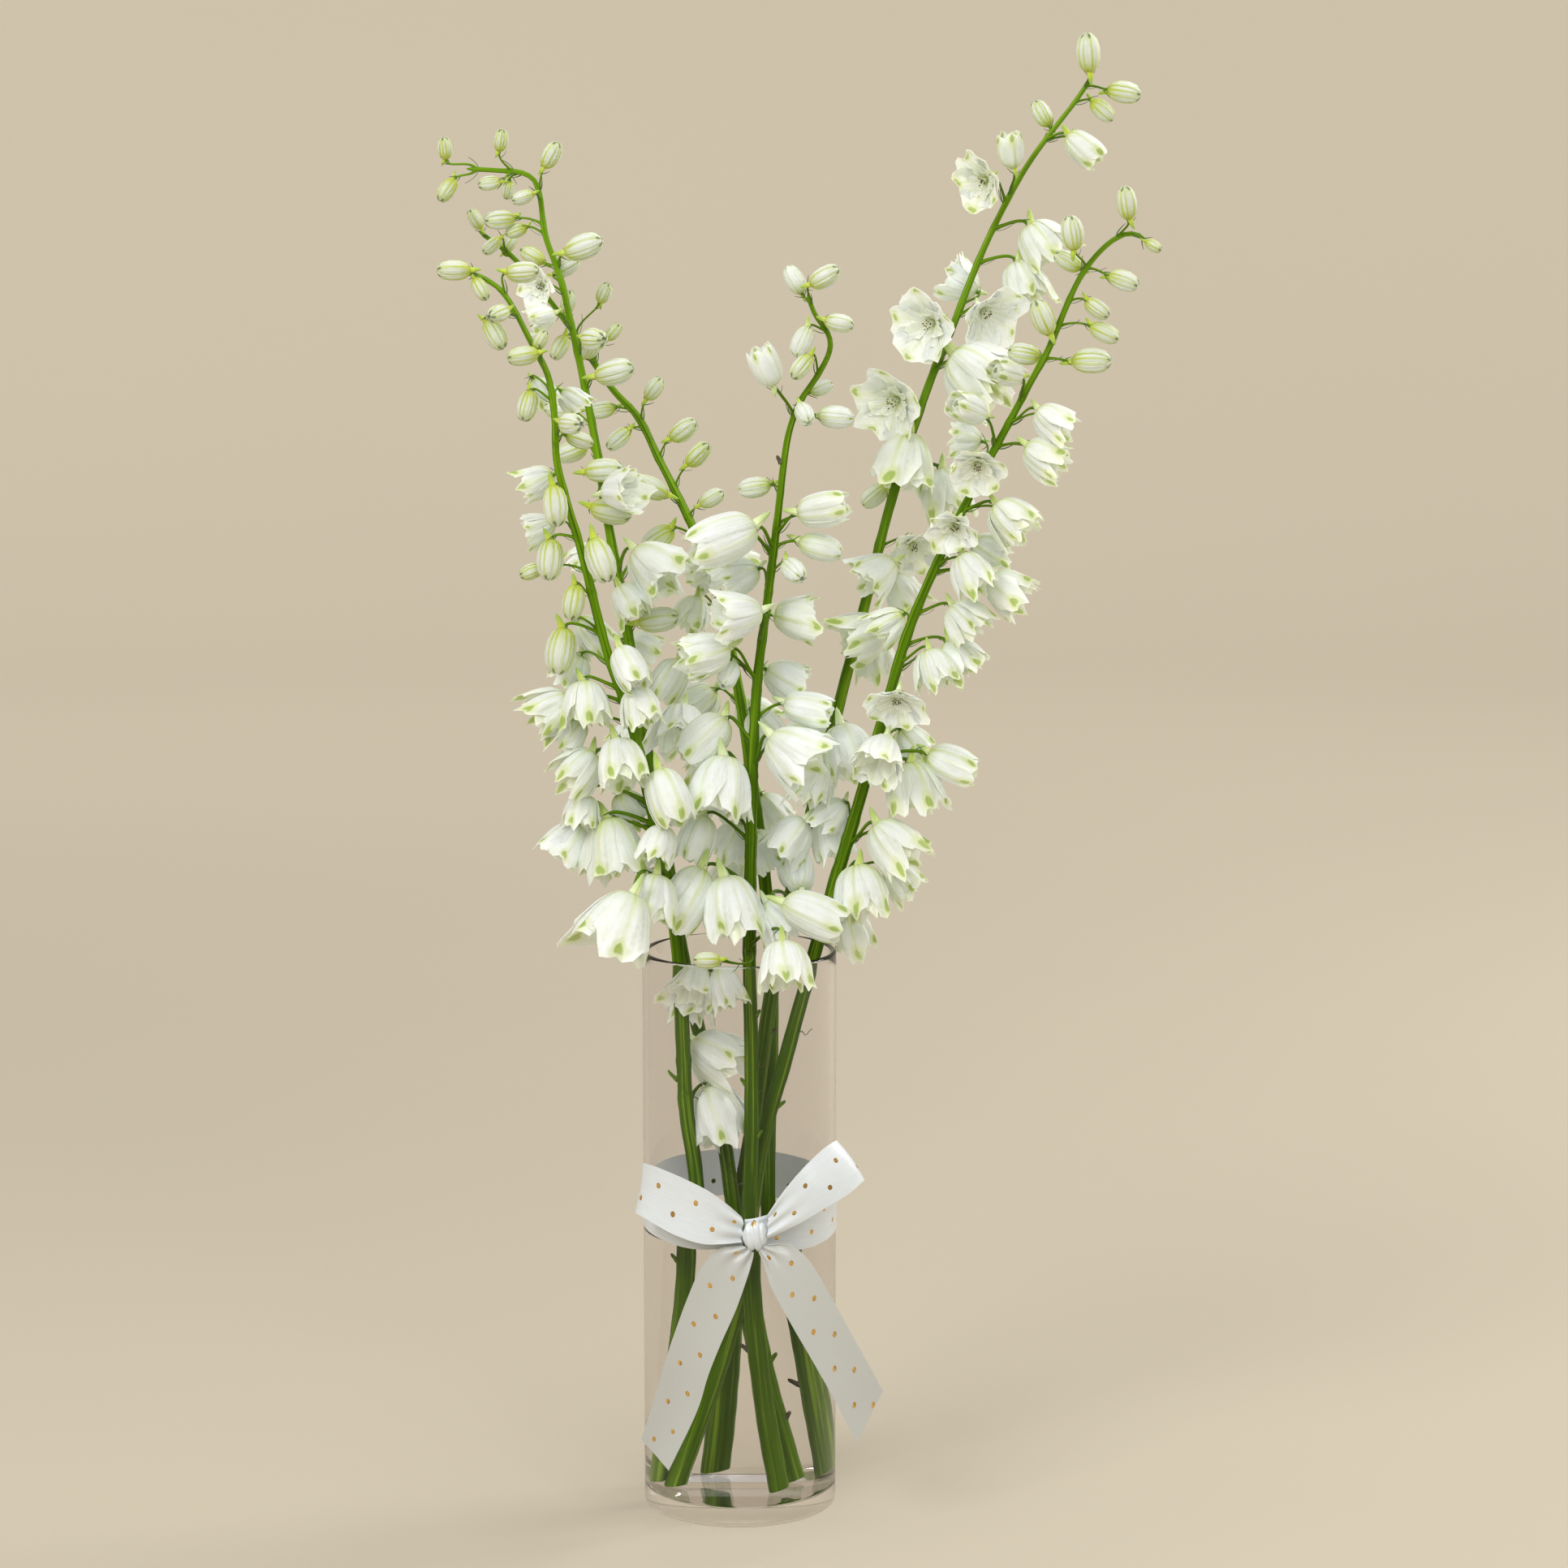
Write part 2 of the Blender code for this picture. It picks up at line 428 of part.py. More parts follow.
class Bunch:
    """All the flowers, as arrays, so that they can push each other aside."""

    def __init__(self, blooms, stems):
        self.blooms = blooms
        self.base = np.array([bloom.base for bloom in blooms])
        self.start = self.base.copy()
        self.axis = np.array([bloom.axis for bloom in blooms])
        self.sight = np.array([bloom.sight for bloom in blooms])
        self.length = np.array([bloom.length for bloom in blooms])
        self.radius = np.array([bloom.radius for bloom in blooms])
        self.line_point = np.array([bloom.stem.line[bloom.root] for bloom in blooms])
        self.line_direction = np.array([bloom.stem.direction(bloom.root) for bloom in blooms])
        self.line_radius = np.array([bloom.stem.radius[bloom.root] for bloom in blooms])
        self.bend = np.zeros_like(self.base)
        self.stem_points = np.concatenate([stem.line[::2] for stem in stems])
        self.stem_radii = np.concatenate([stem.radius[::2] for stem in stems])
        owners = {id(stem): number for number, stem in enumerate(stems)}
        self.owner = np.array([owners[id(bloom.stem)] for bloom in blooms])
        self.stem_owner = np.repeat(np.arange(len(stems)), [len(stem.line[::2]) for stem in stems])
        inside = np.hypot(self.base[:, 0], self.base[:, 1]) < VASE_RADIUS
        self.inside = inside[:, None]
        self.find_neighbours()

    def roots(self):
        """Where each stalk leaves its stem's skin, and in which direction."""
        away = self.base - self.line_point
        away -= self.line_direction * np.sum(away * self.line_direction, axis=1, keepdims=True)
        away /= np.maximum(np.linalg.norm(away, axis=1, keepdims=True), 1e-6)
        root = self.line_point + away * (self.line_radius[:, None] + STALK_START)
        return root, away

    def samples(self):
        """Points along every stalk and flower, with their radii."""
        root, away = self.roots()
        direction = away * STALK_OUTWARD + self.line_direction * STALK_UPWARD
        stalks = stalk_points(root, direction, self.base, self.axis, self.bend, STALK_PARTS)
        flowers = [self.base + self.axis * (self.length * part)[:, None] for part in BLOOM_PARTS]
        points = np.concatenate((stalks, np.stack(flowers, axis=1)), axis=1)
        radii = [np.full(len(self.base), STALK_RADIUS)] * len(STALK_PARTS)
        for part in BLOOM_PARTS:
            widths = [np.interp(part, *zip(*bloom.kind.outline)) for bloom in self.blooms]
            radii.append(self.radius * np.array(widths))
        return points, np.stack(radii, axis=1)

    def find_neighbours(self):
        """Lists the pairs of flowers, and of flowers and stem points, that could come to touch."""
        points, radii = self.samples()
        middle = points.mean(axis=1)
        spread = np.linalg.norm(points - middle[:, None], axis=2).max(axis=1) + radii.max(axis=1)
        apart = np.linalg.norm(middle[:, None] - middle[None], axis=2)
        self.near_flowers = np.nonzero(np.triu(apart < spread[:, None] + spread[None] + FLOWER_REACH, 1))
        apart = np.linalg.norm(middle[:, None] - self.stem_points[None], axis=2)
        self.near_stems = np.nonzero(apart < spread[:, None] + STEM_REACH)

    def pushes(self):
        """How far each sample of each flower is pushed by the others, by the stems and by the glass."""
        points, radii = self.samples()
        push = np.zeros_like(points)
        first, second = self.near_flowers
        room = radii[first][:, :, None] + radii[second][:, None] + ROOM
        force = away_from(points[first][:, :, None], points[second][:, None], room)
        np.add.at(push, first, force.sum(axis=2))
        np.add.at(push, second, -force.sum(axis=1))
        first, second = self.near_stems
        room = radii[first] + self.stem_radii[second][:, None] + ROOM
        grown_here = self.owner[first] == self.stem_owner[second]
        room[grown_here, :2] = 0
        np.add.at(push, first, away_from(points[first], self.stem_points[second][:, None], room))
        return push + self.glass_push(points, radii)

    def glass_push(self, points, radii):
        """How far the glass pushes flowers inward or outward, and its rim the stalks that cross it upward."""
        outward = points * (1, 1, 0)
        distance = np.maximum(np.linalg.norm(outward, axis=2), 1e-3)
        outward /= distance[..., None]
        too_far = np.maximum(distance + radii + ROOM - (VASE_RADIUS - GLASS_WALL), 0) * self.inside
        too_near = np.maximum(VASE_RADIUS + ROOM + radii - distance, 0) * ~self.inside
        below = points[..., 2] - radii < VASE_HEIGHT
        in_flower = np.arange(points.shape[1]) >= len(STALK_PARTS)
        push = outward * np.where(below & in_flower, too_near - too_far, 0)[..., None]
        over_rim = (np.abs(distance - VASE_RADIUS) < RIM_REACH) & (points[..., 2] > VASE_HEIGHT - RIM_DEPTH)
        low = np.maximum(VASE_HEIGHT + RIM_CLEAR - points[..., 2], 0)
        push[..., 2] += low * (over_rim & ~in_flower)
        return push

    def settle(self):
        """Lets the flowers push each other aside, mostly towards or away from the eye."""
        stalks = len(STALK_PARTS)
        for step in range(SETTLE_STEPS):
            if step % STEPS_A_SEARCH == 0:
                self.find_neighbours()
            push = self.pushes()
            move = push[:, stalks:].sum(axis=1) * FLOWER_SHARE + push[:, stalks - 1] * STALK_SHARE
            along = along_sight(move, self.sight)
            self.base += limited(along + (move - along) * ASIDE_SHARE, MOST_A_STEP)
            moved = self.base - self.start
            along = along_sight(moved, self.sight)
            self.base = self.start + along + limited(moved - along, MOST_ASIDE)
            self.bend += limited(push[:, : stalks - 1].sum(axis=1) * BEND_SHARE, MOST_BEND_A_STEP)
            self.bend = limited(self.bend, MOST_BEND)


def tube(name, points, radii, sides, material, collection):
    """A tube of these radii along the points, with closed ends. Its sides are 4, 6 or 8."""
    curve = bpy.data.curves.new(name, "CURVE")
    curve.dimensions = "3D"
    curve.bevel_depth = MM
    curve.bevel_resolution = (sides - 4) // 2
    curve.use_fill_caps = True
    spline = curve.splines.new("POLY")
    spline.points.add(len(points) - 1)
    for item, point, radius in zip(spline.points, points, radii):
        item.co = (*(float(value) * MM for value in point), 1.0)
        item.radius = float(radius)
    curve.materials.append(material)
    made = bpy.data.objects.new(name, curve)
    collection.objects.link(made)
    return made


def made_mesh(tube_object, collection):
    """The same tube as a closed mesh, which a Boolean can take."""
    bpy.context.view_layer.update()
    graph = bpy.context.evaluated_depsgraph_get()
    mesh = bpy.data.meshes.new_from_object(tube_object.evaluated_get(graph))
    shape = bmesh.new()
    shape.from_mesh(mesh)
    bmesh.ops.remove_doubles(shape, verts=shape.verts, dist=1e-6)
    bmesh.ops.recalc_face_normals(shape, faces=shape.faces)
    shape.to_mesh(mesh)
    shape.free()
    name = tube_object.name
    bpy.data.objects.remove(tube_object, do_unlink=True)
    made = bpy.data.objects.new(name, mesh)
    collection.objects.link(made)
    return made


def as_helper(item):
    item.hide_render = True
    item.display_type = "WIRE"


def add_boolean(item, operation, helpers):
    modifier = item.modifiers.new(operation.lower(), "BOOLEAN")
    modifier.operation = operation
    modifier.operand_type = "COLLECTION"
    modifier.collection = helpers


def flower_outline(bunch, number, own_piece):
    """Centre points and radii of a stalk with its flower, from the stem's skin or, grown as one, its middle."""
    bloom = bunch.blooms[number]
    root, away = (values[number] for values in bunch.roots())
    direction = away * STALK_OUTWARD + bunch.line_direction[number] * STALK_UPWARD
    parts = (0.0, 0.3, 0.6, 0.85) if own_piece else (0.55,)
    base, axis = bunch.base[number], bunch.axis[number]
    points = list(stalk_points(root, direction, base, axis, bunch.bend[number], parts))
    radii = [STALK_RADIUS] * len(points)
    if not own_piece:
        points.insert(0, bunch.line_point[number])
        radii.insert(0, STALK_RADIUS)
    outline = bloom.kind.outline
    for part, width in outline if own_piece else (outline[0], outline[-2], outline[-1]):
        points.append(base + axis * bloom.length * part)
        radii.append(max(width * bloom.radius * BLOOM_SHRINK, STALK_RADIUS))
    return points, radii


def has_far_side(bloom):
    """Whether a flower that stands well in front of its stem has a like one behind, out of the eye's sight."""
    return bloom.kind is not BUD and not bloom.row.behind and bloom.forward > FAR_SIDE_LEAST


def far_side_of(row):
    return row._replace(behind=True, lean=FAR_SIDE_LEAN, length=row.length * FAR_SIDE_LENGTH)


def make_flowers(stems, collection, helpers, white):
    """The largest florets as pieces of their own, and the others as helpers that their stems take in."""
    blooms = []
    names = []
    for letter, stem in stems.items():
        seen = [Bloom(row, stem) for row in FLOWERS[letter]]
        unseen = [Bloom(far_side_of(bloom.row), stem) for bloom in seen if has_far_side(bloom)]
        blooms += seen + unseen
        names += [(letter, number) for number in range(1, len(seen) + len(unseen) + 1)]
    bunch = Bunch(blooms, list(stems.values()))
    bunch.settle()
    by_size = sorted(range(len(blooms)), key=lambda number: -blooms[number].radius * blooms[number].length)
    own = set(by_size[:OWN_PIECE_FLORETS])
    for index, (letter, number) in enumerate(names):
        points, radii = flower_outline(bunch, index, index in own)
        if index in own:
            tube(f"floret_{letter}_{number:02d}", points, radii, 6, white, collection)
        else:
            made = made_mesh(tube(f"bud_{letter}_{number:02d}", points, radii, 4, white, helpers[letter]),
                             helpers[letter])
            as_helper(made)


def make_stem(letter, stem, collection, helpers, green):
    """A stem, cut at a slant where it stands on the vase's floor, with the flowers that grow as one with it."""
    line, radii = stem.line[stem.rings], stem.radius[stem.rings]
    made = made_mesh(tube(f"stem_{letter}", line, radii, STEM_SIDES, green, collection), collection)
    foot = Vector(stem.line[0]) * MM
    foot_radius = stem.radius[0] * MM
    upward = Vector(unit(stem.line[1] - stem.line[0]))
    for vertex in made.data.vertices:
        if (vertex.co - foot).length < 1.1 * foot_radius:
            height = (FLOOR_HEIGHT + GAP) * MM + (vertex.co.x - foot.x + foot_radius) * CUT_SLANT
            vertex.co += upward * ((height - vertex.co.z) / upward.z)
    add_boolean(made, "UNION", helpers)


def turned(name, profile, material, collection):
    """A profile of (radius, height), run down its outer side, turned round the vase's axis."""
    mesh = bpy.data.meshes.new(name)
    points = [(radius * MM, 0.0, height * MM) for radius, height in profile]
    mesh.from_pydata(points, [(n, n + 1) for n in range(len(points) - 1)], [])
    mesh.materials.append(material)
    made = bpy.data.objects.new(name, mesh)
    collection.objects.link(made)
    screw = made.modifiers.new("turn", "SCREW")
    screw.steps = screw.render_steps = VASE_SIDES
    screw.use_merge_vertices = True
    screw.merge_threshold = 0.00001
    screw.use_smooth_shade = True
    return made


def arc(centre, radius, first, last, count):
    """Points of a rounding, from one angle to another, in degrees."""
    angles = np.radians(np.linspace(first, last, count))
    return [(centre[0] + radius * math.cos(angle), centre[1] + radius * math.sin(angle)) for angle in angles]


def make_vase(collection, glass):
    """A straight cylinder with a rounded rim and foot and a thick floor."""
    half_wall = GLASS_WALL / 2
    inner = VASE_RADIUS - GLASS_WALL
    rim = (VASE_RADIUS - half_wall, VASE_HEIGHT - half_wall)
    foot = (VASE_RADIUS - FOOT_ROUNDING, FOOT_ROUNDING)
    corner = (inner - INNER_ROUNDING, FLOOR_HEIGHT + INNER_ROUNDING)
    profile = arc(rim, half_wall, 90, 0, 3) + arc(foot, FOOT_ROUNDING, 0, -90, 3)
    profile += [(0.0, 0.0), (0.0, FLOOR_HEIGHT)]
    profile += arc(corner, INNER_ROUNDING, -90, 0, 3) + arc(rim, half_wall, 180, 90, 3)
    turned("vase", profile, glass, collection)


def make_water(stems, collection, channels, clear):
    """The water, clear of the glass and with a channel round each stem."""
    radius = (VASE_RADIUS - GLASS_WALL - GAP) * math.cos(math.pi / VASE_SIDES)
    low = FLOOR_HEIGHT + GAP
    profile = [(0.0, WATER_HEIGHT), (radius, WATER_HEIGHT), (radius, low + INNER_ROUNDING)]
    profile += [(radius - INNER_ROUNDING, low), (0.0, low)]
    made = turned("water", profile, clear, collection)
    for letter, stem in stems.items():
        below_foot = stem.line[0] * 2 - stem.line[np.searchsorted(stem.along, CHANNEL_DEPTH)]
        under_water = sum(stem.line[number][2] < WATER_HEIGHT + CHANNEL_RISE for number in stem.rings)
        rings = stem.rings[: under_water + 1]
        points = [below_foot] + list(stem.line[rings])
        radii = np.concatenate((stem.radius[:1], stem.radius[rings])) + CHANNEL_ROOM
        as_helper(made_mesh(tube(f"channel_{letter}", points, radii, STEM_SIDES, clear, channels), channels))
    add_boolean(made, "DIFFERENCE", channels)


def strip(name, lower, upper, material, collection):
    """A run of ribbon between two edges, given as matching points, with its thickness outward."""
    mesh = bpy.data.meshes.new(name)
    points = [tuple(float(value) * MM for value in point) for pair in zip(lower, upper) for point in pair]
    faces = [(2 * n, 2 * n + 2, 2 * n + 3, 2 * n + 1) for n in range(len(lower) - 1)]
    mesh.from_pydata(points, [], faces)
    mesh.materials.append(material)
    made = bpy.data.objects.new(name, mesh)
    collection.objects.link(made)
    solid = made.modifiers.new("thickness", "SOLIDIFY")
    solid.thickness = RIBBON_THICKNESS * MM
    solid.offset = 1.0
    solid.use_even_offset = True


def make_band(collection, satin):
    """The ribbon round the vase, from under the knot right round to it again, 0 at +X and -90 at the front."""
    lower, upper = [], []
    for turn in np.linspace(-268, 86, 46):
        around = math.radians(turn)
        height = float(np.interp(turn, BAND_TURNS, BAND_HEIGHTS))
        near_knot = math.exp(-((turn - KNOT_TURN) / KNOT_SPREAD) ** 2)
        half_width = RIBBON_WIDTH / 2 * (1 - KNOT_PINCH * near_knot)
        across, depth = BAND_RADIUS * math.cos(around), BAND_RADIUS * math.sin(around)
        lower.append((across, depth, height - half_width))
        upper.append((across, depth, height + half_width))
    strip("ribbon_band", lower, upper, satin, collection)


def make_run(name, pairs, collection, satin):
    """A loop or a tail of the ribbon, from the places of its two edges."""
    one = smooth_route([sight_point(across, down, depth) for across, down, _, _, depth in pairs], RUN_POINTS)
    other = smooth_route([sight_point(across, down, depth) for _, _, across, down, depth in pairs], RUN_POINTS)
    strip(name, one, other, satin, collection)


def make_knot(collection, satin):
    bpy.ops.mesh.primitive_uv_sphere_add(segments=16, ring_count=8, radius=MM, location=KNOT * MM)
    made = bpy.context.active_object
    made.name = "ribbon_knot"
    made.data.materials.append(satin)
    for vertex in made.data.vertices:
        vertex.co = [value * radius for value, radius in zip(vertex.co, KNOT_RADII)]
    for home in list(made.users_collection):
        home.objects.unlink(made)
    collection.objects.link(made)


def make_ribbon(collection, satin):
    make_band(collection, satin)
    make_knot(collection, satin)
    make_run("ribbon_loop_left", LEFT_LOOP, collection, satin)
    make_run("ribbon_loop_right", RIGHT_LOOP, collection, satin)
    make_run("ribbon_tail_left", LEFT_TAIL, collection, satin)
    make_run("ribbon_tail_right", RIGHT_TAIL, collection, satin)


def build():
    clear_scene()
    part = make_collection("delphinium_vase")
    channels = make_collection("channels", hidden=True)
    glass = make_material("vase_glass", CLEAR, 0.03, transmission=1.0)
    clear = make_material("water", CLEAR, 0.0, transmission=1.0)
    white = make_material("petals", PETAL_WHITE, 0.5)
    green = make_material("stem", STEM_GREEN, 0.5)
    satin = make_material("ribbon_satin", SATIN_WHITE, 0.35, sheen=0.5)
    stems = {letter: Stem(route) for letter, route in STEM_ROUTES.items()}
    helpers = {letter: make_collection(f"buds_{letter}", hidden=True) for letter in stems}
    make_vase(part, glass)
    make_water(stems, part, channels, clear)
    make_flowers(stems, part, helpers, white)
    for letter, stem in stems.items():
        make_stem(letter, stem, part, helpers[letter], green)
    make_ribbon(part, satin)


build()
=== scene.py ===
"""White delphinium spikes in a glass cylinder vase of water, with a white satin ribbon bow.

Working values are in millimetres and meshes are in metres, in the frame's own axes: +Z up, the front
towards -Y. A place read off the picture is (across, down) in its 1932 x 1932 pixels, and lies on that
pixel's line of sight.
"""

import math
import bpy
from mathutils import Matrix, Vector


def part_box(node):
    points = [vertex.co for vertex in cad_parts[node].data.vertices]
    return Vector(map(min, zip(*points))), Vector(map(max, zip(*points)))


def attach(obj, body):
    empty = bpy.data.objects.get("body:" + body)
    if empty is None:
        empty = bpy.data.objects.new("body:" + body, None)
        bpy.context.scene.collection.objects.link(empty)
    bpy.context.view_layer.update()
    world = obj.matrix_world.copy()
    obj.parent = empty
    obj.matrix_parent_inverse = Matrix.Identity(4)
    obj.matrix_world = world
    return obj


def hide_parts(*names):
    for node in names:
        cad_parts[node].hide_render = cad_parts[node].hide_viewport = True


bl_info = {
    "name": "Delphinium Vase",
    "version": (1, 0, 0),
    "blender": (4, 5, 0),
    "location": "View3D > Sidebar > Delphinium",
    "description": "White delphinium spikes in a glass cylinder vase with a satin ribbon bow",
    "category": "Add Mesh",
}

from collections import namedtuple

import bpy
import numpy as np
from mathutils import Vector

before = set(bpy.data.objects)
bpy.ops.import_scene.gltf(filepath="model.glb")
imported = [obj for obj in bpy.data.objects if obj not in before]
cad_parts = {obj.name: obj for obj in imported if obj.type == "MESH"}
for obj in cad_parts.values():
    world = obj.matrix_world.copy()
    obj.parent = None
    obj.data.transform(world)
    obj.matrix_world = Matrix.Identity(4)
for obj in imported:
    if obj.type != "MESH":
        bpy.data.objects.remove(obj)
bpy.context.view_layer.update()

MM = 0.001
VASE_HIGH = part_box("vase")[1]
VASE_RADIUS = round(float(VASE_HIGH[0]) / MM, 2)
VASE_HEIGHT = round(float(VASE_HIGH[2]) / MM, 2)
WATER_HEIGHT = round(float(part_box("water")[1][2]) / MM, 2)
GLASS_WALL = 3.0
FLOOR_HEIGHT = 10.0
FOOT_ROUNDING = 3.0
INNER_ROUNDING = 2.2
VASE_SIDES = 160

# Picture: the eye stands in front of the vase and looks slightly down
EYE = np.array((23.0, -2000.0, 667.0))
PITCH = math.radians(8.2)
FOCAL_PIXELS = 4868.0
PICTURE_PIXELS = 1932
PICTURE_MIDDLE = 966.0

# Stems: radius at the cut end, at a third, at two thirds and at the tip of the length
STEM_RADII = ((0.0, 4.4), (0.33, 3.8), (0.66, 2.5), (1.0, 1.1))
# Tone of a stem's skin, from 0 dark to 1 light, at parts of its length, and each spike's share of it
STEM_TONES = ((0.0, 0.36), (0.14, 0.3), (0.26, 0.04), (0.42, 0.3), (0.66, 0.8), (1.0, 1.0))
TONE_SHARES = {"a": 1.0, "b": 1.0, "c": 0.85, "d": 0.55, "e": 0.6, "f": 0.6}
# Slant of the cut end, and how far its lowest edge stands off the vase's floor
CUT_SLANT = 0.35
CUT_CLEAR = 0.3
# Points along a stem's centre line
LINE_POINTS = 160
# The mesh of a stem, how much it swells where a stalk leaves it, and how far along it the swelling reaches
STEM_SIDES = 16
STEM_ROWS = 200
SWELLING = 0.12
SWELLING_REACH = 2.2

# Flower stalks and the room that flowers leave each other
STALK_RADIUS = 0.75
STALK_START = 0.62
STALK_OUTWARD = 0.75
STALK_UPWARD = 0.66
STALK_PARTS = (0.3, 0.5, 0.7, 0.9)
BLOOM_PARTS = (0.15, 0.5, 0.85)
ROOM = 0.7
OWN_PIECE_FLORETS = 46

# A flower in front of its stem by more than this has a like one behind it, smaller and leaning away
FAR_SIDE_LEAST = 9.0
FAR_SIDE_LENGTH = 0.8
FAR_SIDE_LEAN = -30

# How the flowers push each other aside: shares of the push that they follow, and the most that they may move
SETTLE_STEPS = 260
STEPS_A_SEARCH = 20
FLOWER_REACH = 8.0
STEM_REACH = 12.0
FLOWER_SHARE = 0.16
STALK_SHARE = 0.1
BEND_SHARE = 0.12
ASIDE_SHARE = 0.3
MOST_A_STEP = 1.5
MOST_ASIDE = 6.0
MOST_BEND_A_STEP = 0.8
MOST_BEND = 8.0
RIM_REACH = 6.0
RIM_CLEAR = 1.5
RIM_DEPTH = 25.0

# Ribbon
RIBBON_WIDTH = 25.0
RIBBON_THICKNESS = 0.3
BAND_RADIUS = VASE_RADIUS + 0.35
BAND_TURNS = (-270, -180, -140, -95, -80, -40, 0, 90)
BAND_HEIGHTS = (164, 163, 160, 156, 156, 157, 160, 164)
KNOT_TURN = -87
KNOT_SPREAD = 22
KNOT_PINCH = 0.42
KNOT = np.array((8.4, -54.9, 156.0))
KNOT_RADII = (6.2, 4.4, 7.7)
KNOT_MAP_LENGTH = 0.012
KNOT_ROWS, KNOT_SIDES = 33, 64
# Rows and columns of points in a loop or a tail, and in the band
RUN_ROWS, RUN_COLUMNS = 90, 25
BAND_ROWS, BAND_COLUMNS = 154, 17
# How far the folds reach out from the knot, how many half waves they are, and how far a flat run bows
GATHER_REACH = 18.0
GATHER_WAVES = 5.0
CROWN = 0.9

# Ribbon runs as pairs of matching edge places (across, down, across, down, depth), from the knot outward
LEFT_LOOP = (
    (914.5, 1500, 914, 1531, -55.5), (896, 1484, 890, 1533, -60), (872, 1467, 862, 1532, -61),
    (840, 1451, 828, 1520, -57), (812, 1439, 800, 1504, -51), (797, 1434, 786, 1496, -45),
    (792, 1433, 783, 1493, -40), (797, 1436, 790, 1495, -36), (820, 1446, 814, 1502, -41),
    (856, 1464, 850, 1514, -49), (892, 1486, 888, 1522, -54), (914, 1501, 913.5, 1525, -54.0),
)
RIGHT_LOOP = (
    (946, 1496, 946, 1526, -55.5), (966, 1467, 984, 1508, -58), (990, 1439, 1018, 1488, -56),
    (1014, 1416, 1046, 1471, -48), (1029, 1406, 1063, 1456, -40), (1030, 1406, 1064, 1455, -35),
    (1014, 1417, 1046, 1468, -34), (990, 1440, 1016, 1486, -43), (968, 1468, 982, 1503, -51),
    (946.5, 1498, 946.5, 1523, -54.0),
)
LEFT_TAIL = (
    (915, 1535, 929, 1543, -55.3), (885, 1539, 927, 1554, -56.5), (864, 1562, 920, 1577, -57.5),
    (848, 1597, 906, 1616, -57), (832, 1640, 889, 1654, -56.3), (818, 1682, 873, 1694, -55),
    (805, 1728, 858, 1741, -52.5), (790, 1774, 824, 1812, -50),
)
RIGHT_TAIL = (
    (934, 1542, 945, 1533, -55.3), (941, 1558, 974, 1534, -56.5), (951, 1588, 999, 1556, -58),
    (975, 1632, 1024, 1598, -58), (1000, 1675, 1048, 1641, -57), (1026, 1721, 1069, 1679, -55.5),
    (1056, 1778, 1088, 1714, -53),
)

# Satin: steps between the threads that run along and across it
WARP_STEP = 0.32
WEFT_STEP = 0.42
# Gold dots: width, step along the ribbon, first line from the edge, and how far from it the second line is
DOT_SIZE = 2.6
DOT_GAP = 11.0
DOT_FIRST = 8.0
DOT_SECOND = 9.0

# Studio: the round floor is flat up to where it bends up into a wall, and glows less behind the eye
STAGE_SIDES = 96
STAGE_FLAT = 4000.0
STAGE_BEND = 2200.0
WALL_HEIGHT = 6000.0
FRONT_GLOW = 0.35
FLOOR_PATCH = (0.38, 0.34, 0.28, 1)
AIR_COLOUR = (1.0, 0.985, 0.965, 1.0)
AIR_STRENGTH = 0.6

# Lamps: name, place, what it points at, width and height, power in watts and colour
LAMPS = (
    ("key_lamp", (-1.3, -1.7, 1.9), (0.0, 0.0, 0.4), (1.2, 1.2), 40.5, (1.0, 0.995, 0.985)),
    ("side_lamp", (1.9, 0.9, 1.7), (0.0, 0.0, 0.35), (0.9, 1.3), 34.0, (1.0, 0.99, 0.975)),
    ("top_lamp", (0.2, -0.2, 3.0), (0.0, 0.0, 0.3), (1.6, 1.6), 16.0, (1.0, 0.995, 0.985)),
    ("fill_lamp", (0.7, -2.0, 1.5), (0.0, 0.0, 0.4), (1.6, 1.0), 20.0, (0.985, 1.0, 1.0)),
)

# Stubs of leaves on the stems: stem, height, turn round the stem in degrees (0 right, -90 front), length and
# whether it is withered
STUBS = (
    ("a", 79, -20, 3.2, False), ("a", 45, -10, 2.6, True),
    ("b", 135, 180, 3.0, False), ("b", 226, 170, 5.0, False), ("b", 68, 20, 2.0, True),
    ("c", 61, 200, 3.8, True), ("c", 148, 10, 2.4, False),
    ("d", 90, 190, 3.4, True), ("d", 200, -20, 2.6, False), ("d", 226, 200, 2.6, False),
    ("d", 262, -10, 2.2, False), ("d", 546, 185, 2.6, True),
    ("e", 96, -60, 2.6, False), ("e", 250, 0, 2.4, True),
    ("f", 215, 5, 3.0, False), ("f", 104, 200, 2.4, False),
)
# Withered threads inside the vase: stem, height and turn round the stem
THREADS = (("f", 250, -10), ("b", 214, 20), ("d", 170, 215), ("d", 236, -30), ("e", 214, -70))

# Each kind: reach of its stalk from the stem, widest radius over length, drop of its stalk down the stem,
# and its outline as (part of the length, part of the widest radius)
Kind = namedtuple("Kind", "reach width drop outline")
BUD = Kind(9.0, 0.33, 7.0, ((0.0, 0.3), (0.45, 1.0), (1.0, 0.25)))
HALF = Kind(14.0, 0.34, 10.0, ((0.0, 0.25), (0.3, 0.8), (0.75, 1.0), (1.0, 0.7)))
BELL = Kind(18.0, 0.42, 12.0, ((0.0, 0.2), (0.2, 0.65), (0.65, 0.95), (1.0, 0.9)))
CUP = Kind(18.0, 0.5, 12.0, ((0.0, 0.2), (0.25, 0.6), (0.7, 0.95), (1.0, 1.0)))
FACE = Kind(12.0, 0.72, 8.0, ((0.0, 0.2), (0.3, 0.55), (0.75, 0.95), (1.0, 1.0)))

Flower = namedtuple("Flower", "kind across down length aim lean behind depth")


